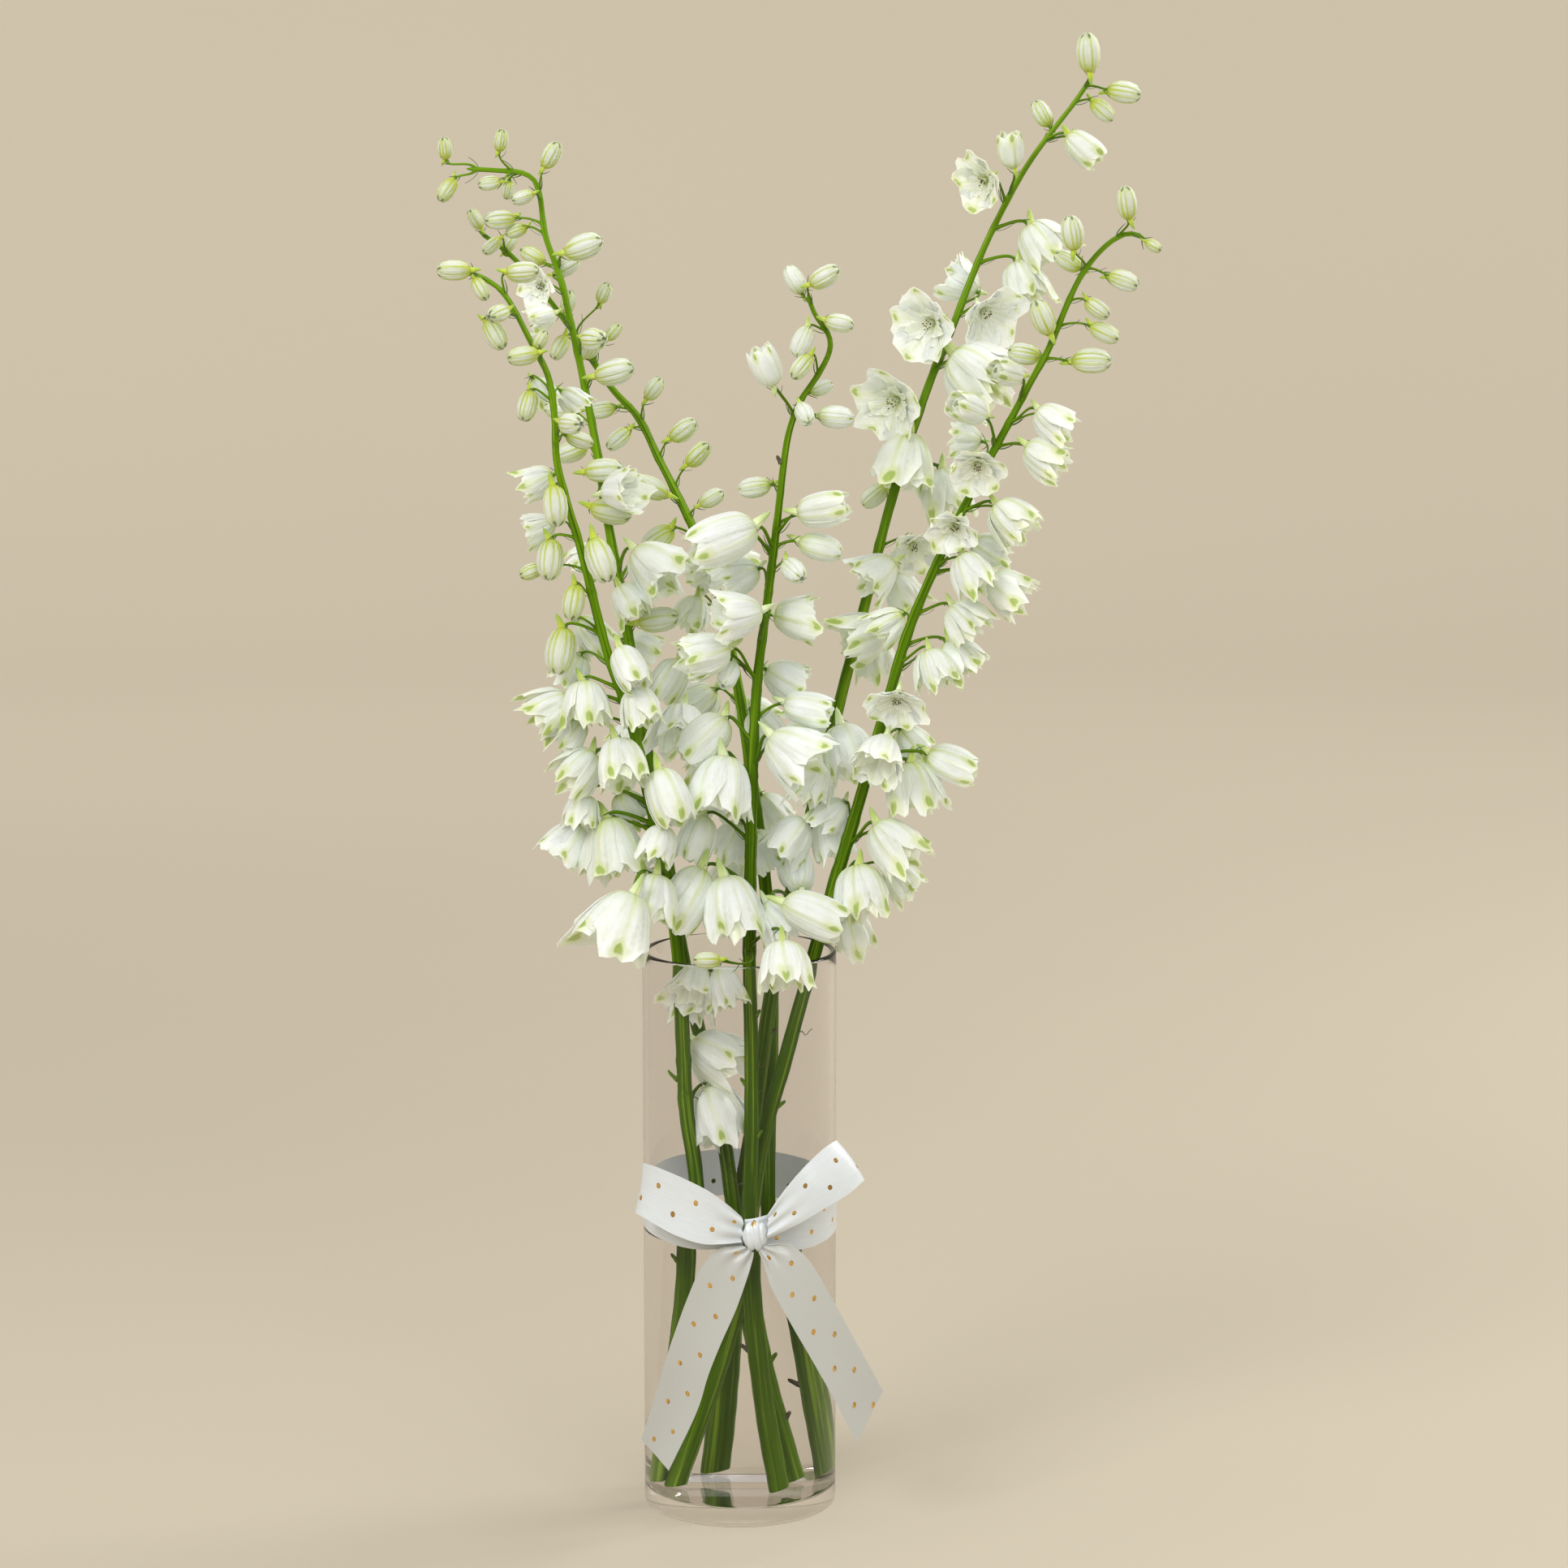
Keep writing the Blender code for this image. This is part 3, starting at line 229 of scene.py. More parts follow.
def flower(kind):
    """A maker of rows: place and length in pixels, aim (0 right, 90 up) and lean to the eye in degrees."""
    def row(across, down, length, aim, lean=10, behind=False, depth=None):
        if behind:
            lean = -abs(lean)
        return Flower(kind, across, down, length, aim, lean, behind, depth)
    return row


bud, half, bell, cup, face = (flower(kind) for kind in (BUD, HALF, BELL, CUP, FACE))

# Stem routes from the tip down, as (across, down, depth), then in the water as (x, depth, height)
STEM_ROUTES = {
    "a": (
        ((575, 208, 62), (612, 210, 61), (648, 214, 60), (664, 235, 59), (672, 290, 57), (690, 340, 56),
         (704, 400, 54), (717, 459, 52), (735, 552, 49), (749, 643, 46), (763, 720, 44), (780, 820, 40),
         (800, 940, 35), (820, 1050, 30), (836, 1151, 26), (850, 1225, 23), (870, 1310, 20), (890, 1393, 17),
         (902, 1472, 14)),
        ((2, 12, 115), (10, 9, 60), (20, 6, 10.3)),
    ),
    "b": (
        ((575, 335, -62), (600, 345, -61), (625, 367, -60), (655, 423, -57), (676, 465, -55), (684, 520, -52),
         (686, 567, -50), (699, 620, -47), (717, 681, -44), (746, 796, -37), (775, 880, -31), (795, 960, -26),
         (815, 1050, -20), (830, 1130, -15), (838, 1210, -11), (842, 1299, -9), (846, 1370, -8),
         (858, 1455, -6)),
        ((-22, -6, 125), (-27, -4, 65), (-34, 0, 10.3)),
    ),
    "c": (
        ((590, 285, 100), (638, 323, 97), (700, 400, 91), (752, 476, 85), (787, 515, 81), (811, 564, 77),
         (832, 605, 73), (858, 660, 69), (880, 720, 64), (900, 800, 58), (915, 880, 53), (930, 985, 46),
         (943, 1090, 38), (951, 1190, 32), (951, 1290, 27), (948, 1390, 22), (947, 1480, 20)),
        ((18, 19, 115), (24, 18, 60), (30, 16, 10.3)),
    ),
    "d": (
        ((995, 362, -28), (1004, 387, -28), (1022, 414, -27), (1021, 437, -27), (1006, 465, -26),
         (986, 495, -25), (973, 530, -24), (966, 570, -24), (958, 640, -22), (946, 737, -20), (934, 830, -18),
         (928, 926, -16), (926, 1009, -15), (924, 1092, -13), (923, 1191, -12), (925, 1279, -12),
         (926, 1381, -11), (924, 1470, -10)),
        ((5, -11, 120), (10, -13, 60), (17, -14, 10.3)),
    ),
    "e": (
        ((1345, 95, 52), (1325, 125, 51), (1300, 157, 50), (1275, 190, 49), (1250, 230, 48), (1221, 287, 46),
         (1200, 335, 45), (1175, 400, 43), (1152, 455, 41), (1132, 510, 39), (1114, 566, 37), (1092, 640, 34),
         (1066, 744, 30), (1041, 840, 26), (1020, 925, 22), (998, 1009, 18), (975, 1100, 15), (950, 1225, 14),
         (939, 1304, 15), (925, 1400, 20), (913, 1470, 24)),
        ((-3, 27, 115), (-5, 29, 60), (-8, 31, 10.3)),
    ),
    "f": (
        ((1411, 294, -58), (1390, 287, -57), (1362, 303, -56), (1335, 335, -55), (1317, 370, -54),
         (1292, 430, -52), (1271, 469, -50), (1240, 527, -47), (1204, 594, -43), (1161, 680, -38),
         (1121, 773, -32), (1095, 860, -27), (1071, 946, -22), (1051, 1015, -18), (1025, 1100, -13),
         (1000, 1187, -8), (984, 1243, -5), (964, 1317, -2), (949, 1368, 0), (936, 1425, 1), (928, 1480, 2)),
        ((0, 0, 115), (-13, -3, 60), (-27, -6, 10.3)),
    ),
}

FLOWERS = {
    "a": (
        bud(548, 183, 28, 95), bud(551, 234, 33, 235), bud(617, 173, 28, 80), bud(603, 226, 28, 190),
        bud(626, 234, 24, 260, behind=True), bud(679, 191, 36, 60), bud(644, 243, 28, 200),
        bud(616, 271, 38, 185), bud(636, 284, 28, 200, behind=True), bud(719, 304, 50, 20),
        bud(656, 315, 34, 150, behind=True), bud(698, 330, 34, 30, behind=True), face(664, 354, 32, 200, 55),
        bell(667, 392, 36, 200), bud(732, 418, 42, 0, 50), bud(757, 458, 50, 15), bud(743, 579, 48, 5),
        cup(766, 605, 52, 5, 30), bud(750, 630, 52, 350), cup(808, 699, 66, 320), bell(774, 742, 48, 300),
        bell(724, 690, 50, 220, behind=True), bell(790, 800, 50, 330, behind=True), bud(811, 764, 50, 10),
        bud(690, 505, 40, 170, behind=True), bud(704, 556, 42, 200, behind=True),
        cup(838, 898, 64, 270, 40), bell(782, 905, 50, 230, behind=True),
    ),
    "b": (
        bud(559, 333, 40, 180), bud(592, 356, 30, 300), bud(644, 335, 40, 5), bud(614, 387, 34, 200, 50),
        bud(610, 412, 40, 300), bud(645, 437, 38, 190), bud(666, 420, 26, 60), bud(650, 500, 38, 255),
        bell(668, 482, 36, 300, behind=True), bell(704, 494, 36, 320, behind=True), bud(704, 522, 40, 0, 50),
        bud(714, 542, 34, 340, behind=True), bell(662, 594, 44, 205, behind=True), bud(684, 623, 50, 275),
        cup(664, 652, 42, 205, behind=True), bud(678, 690, 50, 265), bud(655, 704, 30, 200),
        bud(740, 690, 56, 290), bud(707, 742, 44, 260), bud(691, 802, 58, 260),
        bell(730, 781, 50, 310, behind=True), bell(705, 826, 45, 240, behind=True),
        half(775, 822, 58, 300, 30),
        bell(790, 872, 52, 285), bell(677, 877, 60, 211), bell(722, 868, 60, 275),
        bell(704, 905, 45, 230, behind=True), bell(765, 942, 66, 280, 25), bell(714, 952, 62, 230),
        bell(722, 1003, 46, 260), bell(772, 1000, 48, 300, behind=True), cup(756, 1043, 80, 280),
        cup(702, 1040, 64, 235, depth=-14), cup(762, 1142, 88, 245, 15, depth=-66),
        bell(806, 1094, 64, 260),
        cup(846, 1214, 52, 250, 40, depth=-18), bell(850, 1240, 62, 265, depth=-4), bell(884, 1218, 50, 290),
        bell(878, 1300, 76, 330, depth=2), bell(888, 1368, 80, 290, depth=4), half(819, 986, 70, 290, 20),
        bell(815, 1046, 48, 255),
    ),
    "c": (
        bud(586, 270, 28, 120), bud(606, 303, 28, 220), bud(628, 300, 26, 60, behind=True),
        bud(744, 361, 28, 65),
        bud(700, 372, 30, 80), bud(727, 428, 36, 60, 40), bud(756, 409, 26, 50), bud(690, 428, 34, 240),
        bud(806, 479, 33, 55), bud(842, 530, 40, 35), bud(860, 560, 38, 45), bud(877, 614, 34, 30),
        bud(801, 601, 45, 155), bud(742, 505, 35, 190, behind=True), bud(762, 541, 36, 220),
        bud(811, 664, 46, 215, behind=True), bell(900, 700, 50, 350, behind=True), half(826, 838, 56, 240),
        bell(853, 757, 46, 250), cup(872, 705, 45, 210, 30), bell(862, 866, 52, 220, behind=True),
        bell(930, 880, 50, 320, behind=True), bell(872, 950, 52, 240, behind=True),
        bell(950, 1000, 50, 300, behind=True), bell(905, 1080, 54, 250, behind=True),
    ),
    "d": (
        bud(1016, 341, 40, 30), bud(979, 345, 38, 120, behind=True), bud(1034, 398, 36, 350),
        bud(989, 421, 40, 245), bud(988, 452, 36, 230), half(944, 453, 48, 115),
        bud(1012, 478, 30, 20, behind=True),
        bud(991, 510, 36, 300, 50), bud(1030, 514, 44, 355), half(1012, 628, 60, 10), bud(1011, 675, 55, 345),
        bud(978, 703, 42, 320, 50), half(893, 664, 82, 200), bell(912, 711, 50, 205, behind=True),
        cup(909, 759, 60, 190), cup(982, 763, 54, 350, behind=True), bell(867, 808, 66, 195),
        bud(898, 832, 42, 240, 50), cup(968, 838, 56, 330, behind=True), half(994, 873, 58, 350),
        cup(980, 930, 76, 325), half(871, 911, 70, 225), bell(888, 970, 80, 262), half(862, 1038, 58, 250),
        bell(906, 1036, 52, 250, behind=True), bell(950, 1050, 54, 295, behind=True),
        half(848, 1103, 82, 240), bell(898, 1131, 86, 281, 8, depth=-30), cup(959, 1132, 54, 310),
        bell(966, 1190, 62, 275, 20, depth=-60),
        bud(871, 1183, 34, 180, 5, depth=-57), bud(930, 600, 40, 190, behind=True),
        bell(952, 905, 50, 300, behind=True),
    ),
    "e": (
        bud(1341, 65, 48, 95), bud(1385, 114, 42, 350), bud(1358, 136, 36, 320, behind=True),
        half(1334, 182, 50, 320), bud(1284, 140, 36, 120, behind=True), face(1208, 224, 42, 200, 45),
        half(1246, 186, 42, 100), bell(1284, 301, 60, 305), bell(1262, 350, 60, 290),
        face(1141, 401, 52, 200, 50),
        face(1218, 389, 50, 320, 50), cup(1182, 347, 50, 150, behind=True), face(1099, 501, 58, 205, 50),
        cup(1112, 566, 74, 260), bell(1207, 464, 88, 320), bell(1165, 610, 66, 283),
        bud(1078, 610, 40, 220, behind=True), face(1126, 677, 40, 300, 50), cup(1080, 707, 55, 215),
        bell(1112, 728, 48, 300, behind=True), bell(1058, 783, 64, 197, depth=8),
        bell(1078, 812, 54, 280, behind=True),
        bell(1035, 930, 70, 285), bell(1000, 890, 52, 220, behind=True), bell(1012, 972, 58, 250),
        bell(980, 1030, 60, 230), bell(1020, 1030, 58, 285), bell(976, 1078, 45, 100, -50),
        half(1001, 1128, 76, 338, depth=-36),
    ),
    "f": (
        bud(1388, 250, 40, 100), bud(1421, 303, 22, 330), bud(1321, 287, 42, 100),
        bud(1316, 322, 36, 150, behind=True),
        bud(1384, 346, 38, 340), bud(1352, 380, 34, 325), bud(1361, 410, 38, 335), bud(1285, 391, 45, 115),
        bud(1345, 445, 48, 0), bud(1262, 436, 40, 170, behind=True), half(1241, 460, 45, 165, 40),
        half(1194, 505, 50, 155, 35), cup(1188, 540, 42, 170, behind=True), bell(1297, 523, 50, 320),
        bell(1288, 561, 52, 330), face(1204, 578, 40, 260, 50), bell(1246, 641, 56, 315),
        face(1175, 653, 38, 240, 50), bell(1220, 680, 50, 330, behind=True), bell(1198, 707, 55, 300),
        bell(1243, 730, 58, 325), bell(1191, 766, 55, 315), bell(1094, 770, 46, 215, behind=True),
        bell(1184, 812, 56, 310), bell(1152, 824, 50, 290), face(1104, 868, 42, 260, 45),
        cup(1084, 932, 56, 250, 40),
        bell(1124, 913, 50, 310, behind=True), bell(1126, 974, 70, 283), half(1172, 941, 62, 338),
        bell(1102, 1042, 72, 312), bell(1058, 1100, 68, 280), bell(1016, 1000, 46, 230, behind=True),
        bell(1052, 1146, 54, 285, behind=True), bell(1110, 1085, 50, 310, behind=True),
    ),
}

# An open flower's sepals are this much longer than its plain outline, as their edges are cut back by waves
FULLNESS = 1.07

# How each kind opens: its profile from base to tip as (part of the widest radius, part of the length), the
# half turn in degrees that one sepal takes, how much it narrows to its tip, how far its tip's corners are
# rounded off, how much its edge waves and how green it is
Form = namedtuple("Form", "profile half_turn taper corner wave green")
FORMS = {
    BUD: Form(((0.16, 0), (0.46, 0.06), (0.76, 0.2), (0.87, 0.42), (0.86, 0.66), (0.7, 0.85), (0.46, 0.95),
               (0.2, 1.0)), 46, 0.1, 0.06, 0.015, 0.72),
    HALF: Form(((0.16, 0), (0.5, 0.06), (0.8, 0.2), (0.94, 0.44), (0.97, 0.68), (0.88, 0.88), (0.74, 1.0)),
               47, 0.12, 0.14, 0.05, 0.43),
    BELL: Form(((0.14, 0), (0.48, 0.05), (0.76, 0.19), (0.94, 0.42), (1.02, 0.64), (1.06, 0.84), (1.2, 1.0)),
               45, 0.16, 0.3, 0.16, 0.32),
    CUP: Form(((0.14, 0), (0.42, 0.06), (0.66, 0.22), (0.84, 0.44), (0.97, 0.66), (1.1, 0.84), (1.24, 0.94)),
              48, 0.12, 0.24, 0.17, 0.24),
    FACE: Form(((0.1, 0), (0.24, 0.17), (0.42, 0.32), (0.64, 0.46), (0.86, 0.58), (1.04, 0.68), (1.18, 0.72)),
               52, 0.02, 0.16, 0.13, 0.2),
}
# Parts of the flower's radius: how far sepals stand off each other, how far they bulge, how deep their pleats
# are, and how deep the creases that cross a sepal are in a kind whose wave is 1
LAYER_STEP = 0.06
BULGE = 0.12
PLEAT = 0.034
CRUMPLE = 0.34
# Thickness of sepals, bracts and inner petals
SEPAL_THICKNESS = 0.22
BRACT_THICKNESS = 0.22
INNER_THICKNESS = 0.2

# Numbers of the finishes on a floret's mesh and on a stem's
PETAL, INNER, ANTHER, STALK, BRACT = range(5)
SKIN, CUT, WITHERED = range(3)
# Tone and seed of what didn't grow
PLAIN = (0.0, 0.0)


def unit(vector):
    return vector / max(float(np.linalg.norm(vector)), 1e-9)


def sight_point(across, down, depth):
    """The point at this depth that the eye sees at this pixel."""
    right = (across - PICTURE_MIDDLE) / FOCAL_PIXELS
    rise = (PICTURE_MIDDLE - down) / FOCAL_PIXELS
    ray = np.array((right, math.cos(PITCH) + rise * math.sin(PITCH),
                    rise * math.cos(PITCH) - math.sin(PITCH)))
    return EYE + ray * (depth - EYE[1]) / ray[1]


def millimetres_a_pixel(point):
    """The size of one pixel at this point."""
    ahead = (point[1] - EYE[1]) * math.cos(PITCH) - (point[2] - EYE[2]) * math.sin(PITCH)
    return ahead / FOCAL_PIXELS


def smooth_route(points, count):
    """This many points, evenly spaced, along a Catmull-Rom curve through the given ones."""
    points = np.array(points, float)
    padded = np.vstack((2 * points[0] - points[1], points, 2 * points[-1] - points[-2]))
    fine = []
    for before, start, end, after in zip(padded, padded[1:], padded[2:], padded[3:]):
        slope = end - before
        square = 2 * before - 5 * start + 4 * end - after
        cube = 3 * start - before - 3 * end + after
        for t in np.linspace(0, 1, 12, endpoint=False):
            fine.append(start + 0.5 * (slope * t + square * t**2 + cube * t**3))
    fine = np.array(fine + [points[-1]])
    lengths = np.concatenate(((0,), np.cumsum(np.linalg.norm(np.diff(fine, axis=0), axis=1))))
    wanted = np.linspace(0, lengths[-1], count)
    return np.stack([np.interp(wanted, lengths, fine[:, axis]) for axis in range(points.shape[1])], axis=1)


class Stem:
    """A stem's centre line from the cut end up to the tip, with its radius and tone along it."""

    def __init__(self, letter, route):
        above, below = route
        points = [sight_point(*place) for place in above]
        points += [np.array((x, depth, height)) for x, depth, height in below]
        self.line = smooth_route(points[::-1], LINE_POINTS)
        steps = np.linalg.norm(np.diff(self.line, axis=0), axis=1)
        self.along = np.concatenate(((0,), np.cumsum(steps)))
        self.radius = np.interp(self.along / self.along[-1], *zip(*STEM_RADII))
        self.tone = np.interp(self.along / self.along[-1], *zip(*STEM_TONES)) * TONE_SHARES[letter]

    def nearest(self, place):
        """Number of the centre line's point that lies nearest to a place, seen from the front."""
        from_front = self.line[:, (0, 2)] - place[[0, 2]]
        return int(np.argmin(np.linalg.norm(from_front, axis=1)))

    def root_number(self, base, drop):
        """Number of the point where a stalk starts that ends at base, this far down the stem from it."""
        along = max(self.along[self.nearest(base)] - drop, 0)
        number = int(np.searchsorted(self.along, along))
        return min(max(number, 1), LINE_POINTS - 2)

    def direction(self, number):
        return unit(self.line[number + 1] - self.line[number - 1])


class Bloom:
    """One flower where it grows: its base, its axis, its length and width, and its stalk's root."""

    def __init__(self, row, stem):
        self.row, self.stem, self.kind = row, stem, row.kind
        aim, lean = math.radians(row.aim), math.radians(row.lean)
        self.axis = np.array((math.cos(aim) * math.cos(lean), -math.sin(lean),
                              math.sin(aim) * math.cos(lean)))
        half_way = stem.line[LINE_POINTS // 2]
        self.length = row.length * millimetres_a_pixel(half_way)
        self.radius = self.length * row.kind.width
        at_stem = stem.line[stem.nearest(sight_point(row.across, row.down, half_way[1]))]
        self.put_at(at_stem[1] if row.depth is None else row.depth)
        root = stem.line[self.root]
        self.forward = 0.0
        if row.depth is None:
            self.forward = math.sqrt(max(self.kind.reach**2 - (self.base[0] - root[0]) ** 2, 0))
            base_depth = root[1] + (self.forward if row.behind else -self.forward)
            self.put_at(base_depth + self.axis[1] * self.length / 2, keep_root=True)

    def put_at(self, depth, keep_root=False):
        """Places the flower's middle on its line of sight at this depth."""
        middle = sight_point(self.row.across, self.row.down, depth)
        self.sight = unit(middle - EYE)
        self.base = middle - self.axis * self.length / 2
        if not keep_root:
            self.root = self.stem.root_number(self.base, self.kind.drop)


def stalk_points(root, root_direction, base, axis, bend, parts):
    """Points of a stalk that leaves the stem along root_direction and arrives along the flower's axis."""
    reach = np.linalg.norm(base - root, axis=-1, keepdims=True)
    start, end = root_direction * reach * 1.1, axis * reach * 0.9
    points = []
    for t in parts:
        points.append(root * (2 * t**3 - 3 * t**2 + 1) + start * (t**3 - 2 * t**2 + t)
                      + base * (3 * t**2 - 2 * t**3) + end * (t**3 - t**2) + bend * 4 * t * (1 - t))
    return np.stack(points, axis=-2)


def limited(vectors, most):
    """The same vectors, the long ones cut to this length."""
    lengths = np.maximum(np.linalg.norm(vectors, axis=-1, keepdims=True), 1e-6)
    return vectors * np.minimum(1, most / lengths)


def along_sight(vectors, sight):
    return np.sum(vectors * sight, axis=1, keepdims=True) * sight


def away_from(points, others, room):
    """The push on each point from each of the others that is nearer than the room it needs."""
    between = points - others
    distance = np.maximum(np.linalg.norm(between, axis=-1), 1e-3)
    return between / distance[..., None] * np.maximum(room - distance, 0)[..., None]


class Bunch:
    """All the flowers, as arrays, so that they can push each other aside."""

    def __init__(self, blooms, stems):
        self.blooms = blooms
        self.base = np.array([bloom.base for bloom in blooms])
        self.start = self.base.copy()
        self.axis = np.array([bloom.axis for bloom in blooms])
        self.sight = np.array([bloom.sight for bloom in blooms])
        self.length = np.array([bloom.length for bloom in blooms])
        self.radius = np.array([bloom.radius for bloom in blooms])
        self.line_point = np.array([bloom.stem.line[bloom.root] for bloom in blooms])
        self.line_direction = np.array([bloom.stem.direction(bloom.root) for bloom in blooms])
        self.line_radius = np.array([bloom.stem.radius[bloom.root] for bloom in blooms])
        self.bend = np.zeros_like(self.base)
        self.stem_points = np.concatenate([stem.line[::2] for stem in stems])
        self.stem_radii = np.concatenate([stem.radius[::2] for stem in stems])
        owners = {id(stem): number for number, stem in enumerate(stems)}
        self.owner = np.array([owners[id(bloom.stem)] for bloom in blooms])
        self.stem_owner = np.repeat(np.arange(len(stems)), [len(stem.line[::2]) for stem in stems])
        inside = np.hypot(self.base[:, 0], self.base[:, 1]) < VASE_RADIUS
        self.inside = inside[:, None]
        self.find_neighbours()

    def roots(self):
        """Where each stalk leaves its stem's skin, and in which direction."""
        away = self.base - self.line_point
        away -= self.line_direction * np.sum(away * self.line_direction, axis=1, keepdims=True)
        away /= np.maximum(np.linalg.norm(away, axis=1, keepdims=True), 1e-6)
        root = self.line_point + away * (self.line_radius[:, None] + STALK_START)
        return root, away

    def samples(self):
        """Points along every stalk and flower, with their radii."""
        root, away = self.roots()
        direction = away * STALK_OUTWARD + self.line_direction * STALK_UPWARD
        stalks = stalk_points(root, direction, self.base, self.axis, self.bend, STALK_PARTS)
        flowers = [self.base + self.axis * (self.length * part)[:, None] for part in BLOOM_PARTS]
        points = np.concatenate((stalks, np.stack(flowers, axis=1)), axis=1)
        radii = [np.full(len(self.base), STALK_RADIUS)] * len(STALK_PARTS)
        for part in BLOOM_PARTS:
            widths = [np.interp(part, *zip(*bloom.kind.outline)) for bloom in self.blooms]
            radii.append(self.radius * np.array(widths))
        return points, np.stack(radii, axis=1)

    def find_neighbours(self):
        """Lists the pairs of flowers, and of flowers and stem points, that could come to touch."""
        points, radii = self.samples()
        middle = points.mean(axis=1)
        spread = np.linalg.norm(points - middle[:, None], axis=2).max(axis=1) + radii.max(axis=1)
        apart = np.linalg.norm(middle[:, None] - middle[None], axis=2)
        self.near_flowers = np.nonzero(np.triu(apart < spread[:, None] + spread[None] + FLOWER_REACH, 1))
        apart = np.linalg.norm(middle[:, None] - self.stem_points[None], axis=2)
        self.near_stems = np.nonzero(apart < spread[:, None] + STEM_REACH)

    def pushes(self):
        """How far each sample of each flower is pushed by the others, by the stems and by the glass."""
        points, radii = self.samples()
        push = np.zeros_like(points)
        first, second = self.near_flowers
        room = radii[first][:, :, None] + radii[second][:, None] + ROOM
        force = away_from(points[first][:, :, None], points[second][:, None], room)
        np.add.at(push, first, force.sum(axis=2))
        np.add.at(push, second, -force.sum(axis=1))
        first, second = self.near_stems
        room = radii[first] + self.stem_radii[second][:, None] + ROOM
        grown_here = self.owner[first] == self.stem_owner[second]
        room[grown_here, :2] = 0
        np.add.at(push, first, away_from(points[first], self.stem_points[second][:, None], room))
        return push + self.glass_push(points, radii)

    def glass_push(self, points, radii):
        """How far the glass pushes flowers inward or outward, and its rim the stalks that cross it upward."""
        outward = points * (1, 1, 0)
        distance = np.maximum(np.linalg.norm(outward, axis=2), 1e-3)
        outward /= distance[..., None]
        too_far = np.maximum(distance + radii + ROOM - (VASE_RADIUS - GLASS_WALL), 0) * self.inside
        too_near = np.maximum(VASE_RADIUS + ROOM + radii - distance, 0) * ~self.inside
        below = points[..., 2] - radii < VASE_HEIGHT
        in_flower = np.arange(points.shape[1]) >= len(STALK_PARTS)
        push = outward * np.where(below & in_flower, too_near - too_far, 0)[..., None]
        over_rim = (np.abs(distance - VASE_RADIUS) < RIM_REACH) & (points[..., 2] > VASE_HEIGHT - RIM_DEPTH)
        low = np.maximum(VASE_HEIGHT + RIM_CLEAR - points[..., 2], 0)
        push[..., 2] += low * (over_rim & ~in_flower)
        return push

    def settle(self):
        """Lets the flowers push each other aside, mostly towards or away from the eye."""
        stalks = len(STALK_PARTS)
        for step in range(SETTLE_STEPS):
            if step % STEPS_A_SEARCH == 0:
                self.find_neighbours()
            push = self.pushes()
            move = push[:, stalks:].sum(axis=1) * FLOWER_SHARE + push[:, stalks - 1] * STALK_SHARE
            along = along_sight(move, self.sight)
            self.base += limited(along + (move - along) * ASIDE_SHARE, MOST_A_STEP)
            moved = self.base - self.start
            along = along_sight(moved, self.sight)
            self.base = self.start + along + limited(moved - along, MOST_ASIDE)
            self.bend += limited(push[:, : stalks - 1].sum(axis=1) * BEND_SHARE, MOST_BEND_A_STEP)
            self.bend = limited(self.bend, MOST_BEND)


def has_far_side(bloom):
    """Whether a flower stands far enough in front of its stem to have a like one behind, out of sight."""
    return bloom.kind is not BUD and not bloom.row.behind and bloom.forward > FAR_SIDE_LEAST


def far_side_of(row):
    return row._replace(behind=True, lean=FAR_SIDE_LEAN, length=row.length * FAR_SIDE_LENGTH)


class Growth:
    """The stems, all the flowers where they settled, and which of them are pieces of their own."""

    def __init__(self):
        self.stems = {letter: Stem(letter, route) for letter, route in STEM_ROUTES.items()}
        blooms = []
        self.labels = []
        for letter, stem in self.stems.items():
            seen = [Bloom(row, stem) for row in FLOWERS[letter]]
            unseen = [Bloom(far_side_of(bloom.row), stem) for bloom in seen if has_far_side(bloom)]
            blooms += seen + unseen
            self.labels += [(letter, number) for number in range(1, len(seen) + len(unseen) + 1)]
        self.bunch = Bunch(blooms, list(self.stems.values()))
        self.bunch.settle()
        size = [bloom.radius * bloom.length for bloom in blooms]
        by_size = sorted(range(len(blooms)), key=lambda number: -size[number])
        self.own = set(by_size[:OWN_PIECE_FLORETS])


GROWTH = Growth()


